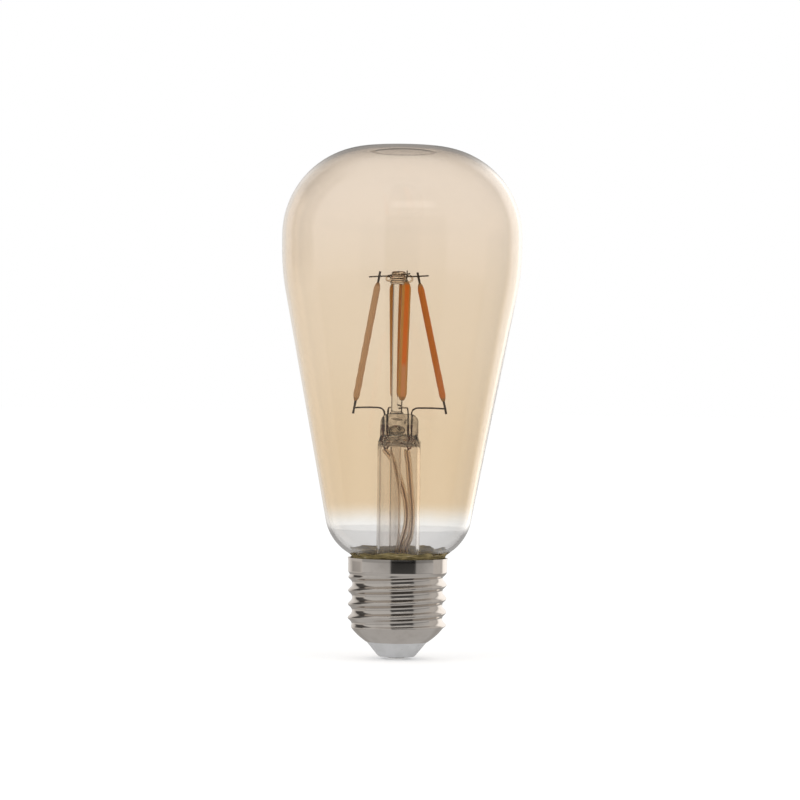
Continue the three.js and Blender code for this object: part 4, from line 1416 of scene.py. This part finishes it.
@dataclass
class Filament:
    """One strip filament: its phosphor coat, the strip in it and a welded tab at each end."""

    side: str
    phosphor: Phosphor
    length: float = 32.0
    width: float = 1.75
    thickness: float = 2.35
    taper: float = 2.0
    tip: float = 0.42
    squareness: float = 0.74
    tab_reach: float = 1.85
    tab_overhangs: dict[str, float] = field(default_factory=lambda: {"top": 1.2, "foot": 1.65})

    def __post_init__(self) -> None:
        """Reads the filament's line and turn from its CAD tabs and coat."""
        top, foot = middle_of(f"filament_tab_top_{self.side}"), middle_of(f"filament_tab_foot_{self.side}")
        self.along = (top - foot).normalized()
        middle = middle_of(f"filament_coat_{self.side}")
        outwards = Vector((middle.x - middle_of("support_rod").x, middle.y, 0)).normalized()
        self.beside = self.along.cross(outwards).normalized()
        self.across = self.beside.cross(self.along)
        turn = Matrix((self.across, self.beside, self.along)).transposed().to_4x4()
        self.place = Matrix.Translation(middle * MM) @ turn

    def coat(self) -> None:
        """Models the coat: a spun bar with drawn ends, squared off a little."""
        half = self.length / 2
        outline = [(0, -half), (self.tip, -half)]
        outline += [
            (self.tip + (1 - self.tip) * math.sin(UPRIGHT * i / 10) ** 0.8, -half + self.taper * i / 10)
            for i in range(1, 11)
        ]
        outline += [(1, -half + self.taper + (self.length - 2 * self.taper) * i / 24) for i in range(1, 24)]
        upper = [(r, -z) for r, z in reversed(outline[:12])]
        piece = spun(f"coat_{self.side}", [*outline, *upper], 40)

        def shape(place: Vector) -> Vector:
            """Squares one point's section and lets the coat's thickness wander."""
            length = place.xy.length
            if length < 1e-6:
                return place
            angle = math.atan2(place.y, place.x)
            x = math.copysign(abs(math.cos(angle)) ** self.squareness, place.x) * self.width / 2
            y = math.copysign(abs(math.sin(angle)) ** self.squareness, place.y) * self.thickness / 2
            wander = 1 + 0.035 * noise.noise(Vector((self.place[0][3] / MM, 0, place.z * 0.35)))
            return Vector((x * length * wander, y * length * wander, place.z))

        reshape(piece, shape)
        piece.matrix_world = self.place
        settle(piece)
        coat = self.phosphor.material(self.place.translation / MM, self.beside, self.along * half)
        install(soften(piece, 60), coat, "phosphor_silicone", f"filament_coat_{self.side}")

    def tabs(self) -> None:
        """Models the two flat tabs, each with its spot weld."""
        material = Finish.NICKEL_WIRE.material()
        for end, sign in (("top", 1), ("foot", -1)):
            node = f"filament_tab_{end}_{self.side}"
            inner, outer = self.length / 2 - 1.15, self.length / 2 + self.tab_reach + self.tab_overhangs[end]
            low, high = sorted((sign * inner, sign * outer))
            strip = block("strip", (-0.3, -0.1, low), (0.3, 0.1, high), 0.05, self.place)
            along = Vector((0, 0, sign * (self.length / 2 + self.tab_reach))) * MM
            weld = block("weld", (-0.34, -0.16, -0.3), (0.34, 0.16, 0.3), 0.13, self.place @ Matrix.Translation(along))
            piece = joined(f"tab_{end}_{self.side}", [strip, weld])
            install(piece, material, "nickel_wire", node)

    def build(self) -> None:
        """Models the filament."""
        self.coat()
        self.tabs()


# ---------------------------------------------------------------- the driver in the cap


@dataclass
class Driver:
    """The electronics in the cap, whose CAD solids keep their shapes and get finishes and small parts."""

    pad_radius: float = 0.45
    chip_size: tuple[float, float, float] = (1.0, 0.5, 0.35)

    def dress(self) -> None:
        """Gives every CAD node that still shows its finish."""
        finishes = {
            "driver_board": Finish.BOARD,
            "radio_board": Finish.BOARD,
            "smoothing_capacitor": Finish.ALUMINIUM_CAN,
            "radio_shield": Finish.ALUMINIUM_CAN,
            "bridge_rectifier": Finish.EPOXY,
            "driver_chip": Finish.EPOXY,
            "filter_choke": Finish.WINDING,
            "fusible_resistor": Finish.RESISTOR,
            "radio_antenna": Finish.COPPER_WIRE,
            "centre_lead": Finish.COPPER_WIRE,
            "side_lead": Finish.COPPER_WIRE,
        }
        for side in ("left", "right", "front", "back"):
            finishes[f"filament_strip_{side}"] = Finish.CERAMIC
        for node, finish in finishes.items():
            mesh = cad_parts[node].data
            mesh.materials.clear()
            mesh.materials.append(finish.material())
            LOG.info("%s dressed as %s", node, finish.name.lower())

    def legs(self) -> None:
        """Adds the metal legs of the two moulded parts on the board."""
        board_top = reach_of("driver_board")[1].z
        for node, count in (("driver_chip", 4), ("bridge_rectifier", 2)):
            low, high = reach_of(node)
            legs = []
            for i in range(count):
                x = low.x + (high.x - low.x) * (i + 0.5) / count
                for sign, y in ((-1, low.y), (1, high.y)):
                    ends = sorted((y - sign * 0.05, y + sign * 0.75))
                    corners = ((x - 0.2, ends[0], board_top + 0.02), (x + 0.2, ends[1], board_top + 0.17))
                    legs.append(block("leg", *corners, 0.05, rounds=1))
                    ends = sorted((y + sign * 0.02, y + sign * 0.2))
                    corners = ((x - 0.2, ends[0], board_top + 0.05), (x + 0.2, ends[1], low.z + 0.7))
                    legs.append(block("leg", *corners, 0.05, rounds=1))
            piece = joined(f"{node}_legs", legs)
            install(piece, Finish.SOLDERED_TIN.material(), "soldered_tin")

    def small_parts(self) -> None:
        """Adds the small surface-mounted parts round the board."""
        board_top = reach_of("driver_board")[1].z
        chips = []
        for i, (x, y) in enumerate(((-1.6, -5.9), (1.0, -6.4), (-1.4, -8.2), (6.9, 1.9), (-8.1, 0.6), (-7.6, 2.6))):
            turn = Matrix.Rotation(0.5 * math.pi * (i % 2), 4, "Z")
            place = Matrix.Translation(Vector((x, y, board_top + 0.02)) * MM) @ turn
            width, depth, height = self.chip_size
            low, high = (-width / 2, -depth / 2, 0), (width / 2, depth / 2, height)
            chips.append(block("part", low, high, 0.05, place, 1))
        piece = joined("small_parts", chips)
        install(piece, Finish.CERAMIC.material(), "ceramic_strip")

    def build(self) -> None:
        """Dresses and completes the driver."""
        self.dress()
        self.legs()
        self.small_parts()


# ---------------------------------------------------------------- the studio


@dataclass
class Studio:
    """A white room with two big softboxes, and the camera in front of the lamp."""

    distance: float = 0.84
    view_width: float = 0.21333
    eye_height: float = 0.0688
    eye_shift: float = 0.0
    roll: float = -0.81
    sensor: float = 36.0
    front: tuple[tuple[float, float], ...] = (
        (-180, 0.66),
        (-18, 0.60),
        (-15, 0.09),
        (41, 0.09),
        (45, 0.46),
        (80, 0.56),
        (180, 0.62),
    )
    left: tuple[tuple[float, float], ...] = ((92, 0.62), (135, 0.62), (150, 0.8), (180, 0.85))
    left_gap: tuple[tuple[float, float], ...] = ((92, 0.66), (99, 0.1), (129, 0.07), (136, 0.6), (150, 0.8), (180, 0.85))
    right: tuple[tuple[float, float], ...] = ((118, 0.62), (124, 0.5), (134, 1.35), (150, 1.35), (180, 1.0))
    above: tuple[tuple[float, float], ...] = ((90, 0.5), (135, 0.36), (180, 0.3))
    below: float = 0.4
    grazing: Colour = (1.0, 0.97, 0.94)
    tall_strip: float = 0.38
    glint: float = 1.1
    overhead: float = 0.6
    underneath: float = 0.52
    dimmest: float = 0.3

    def camera(self) -> None:
        """Sets the camera up, level with the middle of the glass."""
        lens = self.sensor * self.distance / self.view_width
        deselect()
        place = (self.eye_shift, -self.distance, self.eye_height)
        turn = (UPRIGHT, math.radians(self.roll), 0)
        bpy.ops.object.camera_add(location=place, rotation=turn)
        camera = bpy.context.object
        camera.name = "camera"
        camera.data.sensor_width = self.sensor
        camera.data.lens = lens
        camera.data.clip_start = 0.01
        camera.data.clip_end = 50
        bpy.context.scene.camera = camera

    def ramp(self, wiring: Wiring, angle: bpy.types.NodeSocket, stops: Sequence[tuple[float, float]]) -> bpy.types.NodeSocket:
        """A brightness that follows an angle.

        Args:
            wiring: The room's node tree.
            angle: The angle, in radians.
            stops: Angles in degrees and the brightness at each.

        Returns:
            The brightness.
        """
        share = wiring.maths("MULTIPLY_ADD", angle, 1 / (2 * math.pi), 0.5)
        node = wiring.node("ValToRGB", {0: share})
        elements = node.color_ramp.elements
        for i, (degrees, value) in enumerate(stops):
            element = elements[i] if i < 2 else elements.new(1)
            element.position = (degrees + 180) / 360
            element.color = (value, value, value, 1)
        return node.outputs["Color"]

    def room(self) -> None:
        """Makes the room, white all round to the eye and to dull things.

        What clear glass bends into view is dimmer away from the backdrop, and what polished things mirror
        has the softboxes, the gaps between them and the backdrop in it.
        """
        world = bpy.data.worlds.new("studio")
        bpy.context.scene.world = world
        world.use_nodes = True
        world.cycles.sampling_method = "NONE"
        wiring = Wiring(world.node_tree)
        parts = wiring.node("SeparateXYZ", {0: wiring.node("TexCoord", {}).outputs["Generated"]})
        x, y, z = parts.outputs
        towards = wiring.maths("MULTIPLY", y, -1.0)
        bearing = wiring.maths("ARCTAN2", x, towards)
        spread = wiring.maths("ARCCOSINE", towards)
        off_sight = wiring.maths("ADD", wiring.maths("SINE", spread), 1e-4)
        lean, rise = (wiring.maths("DIVIDE", part, off_sight) for part in (x, z))
        front = self.ramp(wiring, bearing, self.front)
        ramps = (self.left, self.left_gap, self.right, self.above)
        left, left_gap, right, above = (self.ramp(wiring, spread, stops) for stops in ramps)
        left = wiring.blend(wiring.between(z, -0.2, 0.04), left, left_gap)
        sides = wiring.blend(wiring.between(lean, -0.5, 0.5), left, right)
        sides = wiring.blend(wiring.between(rise, 0.7, 0.97), sides, above)
        sides = wiring.blend(wiring.between(rise, -0.3, -0.55), sides, 3 * (self.below,))
        warm = {0: 1.0, 6: sides, 7: (*self.grazing, 1)}
        sides = wiring.node("Mix", warm, data_type="RGBA", blend_type="MULTIPLY").outputs[2]
        dark = wiring.maths("MULTIPLY", wiring.between(z, -0.12, -0.2), wiring.between(z, -0.36, -0.3))
        front = wiring.blend(dark, front, wiring.maths("MULTIPLY", front, front))
        strip = {0: 1.0, 6: front, 7: (*3 * (self.tall_strip,), 1)}
        lighter = wiring.node("Mix", strip, data_type="RGBA", blend_type="LIGHTEN").outputs[2]
        front = wiring.blend(wiring.between(wiring.maths("ABSOLUTE", z), 0.32, 0.38), front, lighter)
        glint = wiring.maths("MULTIPLY", wiring.between(z, 0.5, 0.54), wiring.between(z, 0.66, 0.62))
        in_gap = wiring.maths("MULTIPLY", wiring.between(bearing, -0.3, -0.1), wiring.between(bearing, 0.72, 0.5))
        front = wiring.blend(wiring.maths("MULTIPLY", glint, in_gap), front, 3 * (self.glint,))
        mirrored = wiring.blend(wiring.between(spread, math.radians(90), math.radians(94)), front, sides)
        mirrored = wiring.blend(wiring.between(z, 0.78, 0.9), mirrored, 3 * (self.overhead,))
        mirrored = wiring.blend(wiring.between(z, -0.45, -0.65), mirrored, 3 * (self.underneath,))
        backdrop = wiring.between(y, 0.45, 0.93, self.dimmest, 1)
        path = wiring.node("LightPath", {})
        bent = wiring.blend(wiring.maths("GREATER_THAN", path.outputs["Transmission Depth"], 0.5), (1, 1, 1), backdrop)
        seen = wiring.blend(wiring.maths("GREATER_THAN", path.outputs["Glossy Depth"], 0.5), bent, mirrored)
        lit = wiring.blend(wiring.maths("GREATER_THAN", path.outputs["Diffuse Depth"], 0.5), seen, (1, 1, 1))
        wiring.set(wiring.tree.nodes["Background"], {"Color": lit})

    def floor(self) -> None:
        """Lays the plain pale floor under the contact."""
        deselect()
        bpy.ops.mesh.primitive_plane_add(size=30, location=(0, 0, reach_of("centre_contact")[0].z * MM - 0.0002))
        ground = bpy.context.object
        ground.name = "floor"
        recipe = Recipe("floor_paper", (0.82, 0.82, 0.82), 0.9)
        recipe.set(
            recipe.shader,
            {"Emission Color": (1, 1, 1, 1), "Emission Strength": 0.2, "Specular IOR Level": 0.0},
        )
        ground.data.materials.append(recipe.material)
        ground.visible_glossy = False
        ground.visible_transmission = False

    def lamps(self) -> None:
        """Hangs two soft lamps, which light what is outside the glass."""
        for name, place, size, power in (
            ("left_lamp", (-0.7, -0.55, 0.6), 0.7, 1.2),
            ("right_lamp", (0.6, -0.4, 0.7), 0.6, 0.7),
        ):
            deselect()
            bpy.ops.object.light_add(type="AREA", location=place)
            lamp = bpy.context.object
            lamp.name = name
            lamp.rotation_euler = (Vector((0, 0, 0.05)) - Vector(place)).to_track_quat("-Z", "Y").to_euler()
            lamp.data.size = size
            lamp.data.energy = power
            lamp.visible_camera = False
            lamp.visible_glossy = False
            lamp.visible_transmission = False

    def settings(self) -> None:
        """Lets light through the glass's many walls, and shows colours as they are."""
        scene = bpy.context.scene
        scene.view_settings.view_transform = "Standard"
        scene.cycles.max_bounces = 32
        scene.cycles.transmission_bounces = 32
        scene.cycles.glossy_bounces = 8
        scene.cycles.diffuse_bounces = 4
        scene.cycles.caustics_refractive = True
        scene.cycles.caustics_reflective = True
        scene.cycles.blur_glossy = 0.0
        scene.cycles.sample_clamp_indirect = 4.0

    def build(self) -> None:
        """Builds the studio."""
        self.camera()
        self.room()
        self.floor()
        self.lamps()
        self.settings()
        LOG.info("studio ready")


# ---------------------------------------------------------------- the whole lamp


# The left filament's pale, dull colours and the paler lower colours of the right and front ones are a painted
# reflection veil of the softboxes on the glass, laid over the phosphor's own colour.
FILAMENTS = (
    Filament("left", Phosphor("phosphor_left", (0.50, 0.30, 0.175), (0.50, 0.31, 0.19), (0.48, 0.31, 0.18), 84)),
    Filament("right", Phosphor("phosphor_right", (0.64, 0.14, 0.008), (0.50, 0.20, 0.10), (0.52, 0.17, 0.03), 86)),
    Filament("front", Phosphor("phosphor_front", (0.62, 0.15, 0.008), (0.54, 0.25, 0.11), (0.46, 0.24, 0.06), 78)),
    Filament("back", Phosphor("phosphor_back", (0.46, 0.17, 0.025), (0.45, 0.19, 0.04), (0.44, 0.21, 0.05), 80)),
)


def main() -> None:
    """Builds the lamp and its studio, in order."""
    logging.basicConfig(level=logging.INFO, format="%(name)s: %(message)s")
    Studio().build()
    globe = Globe()
    globe.build()
    ScrewCap().build(globe)
    stem = Stem()
    stem.build()
    Wires().build(stem)
    for filament in FILAMENTS:
        filament.build()
    Driver().build()
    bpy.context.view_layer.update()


if __name__ == "__main__":
    main()
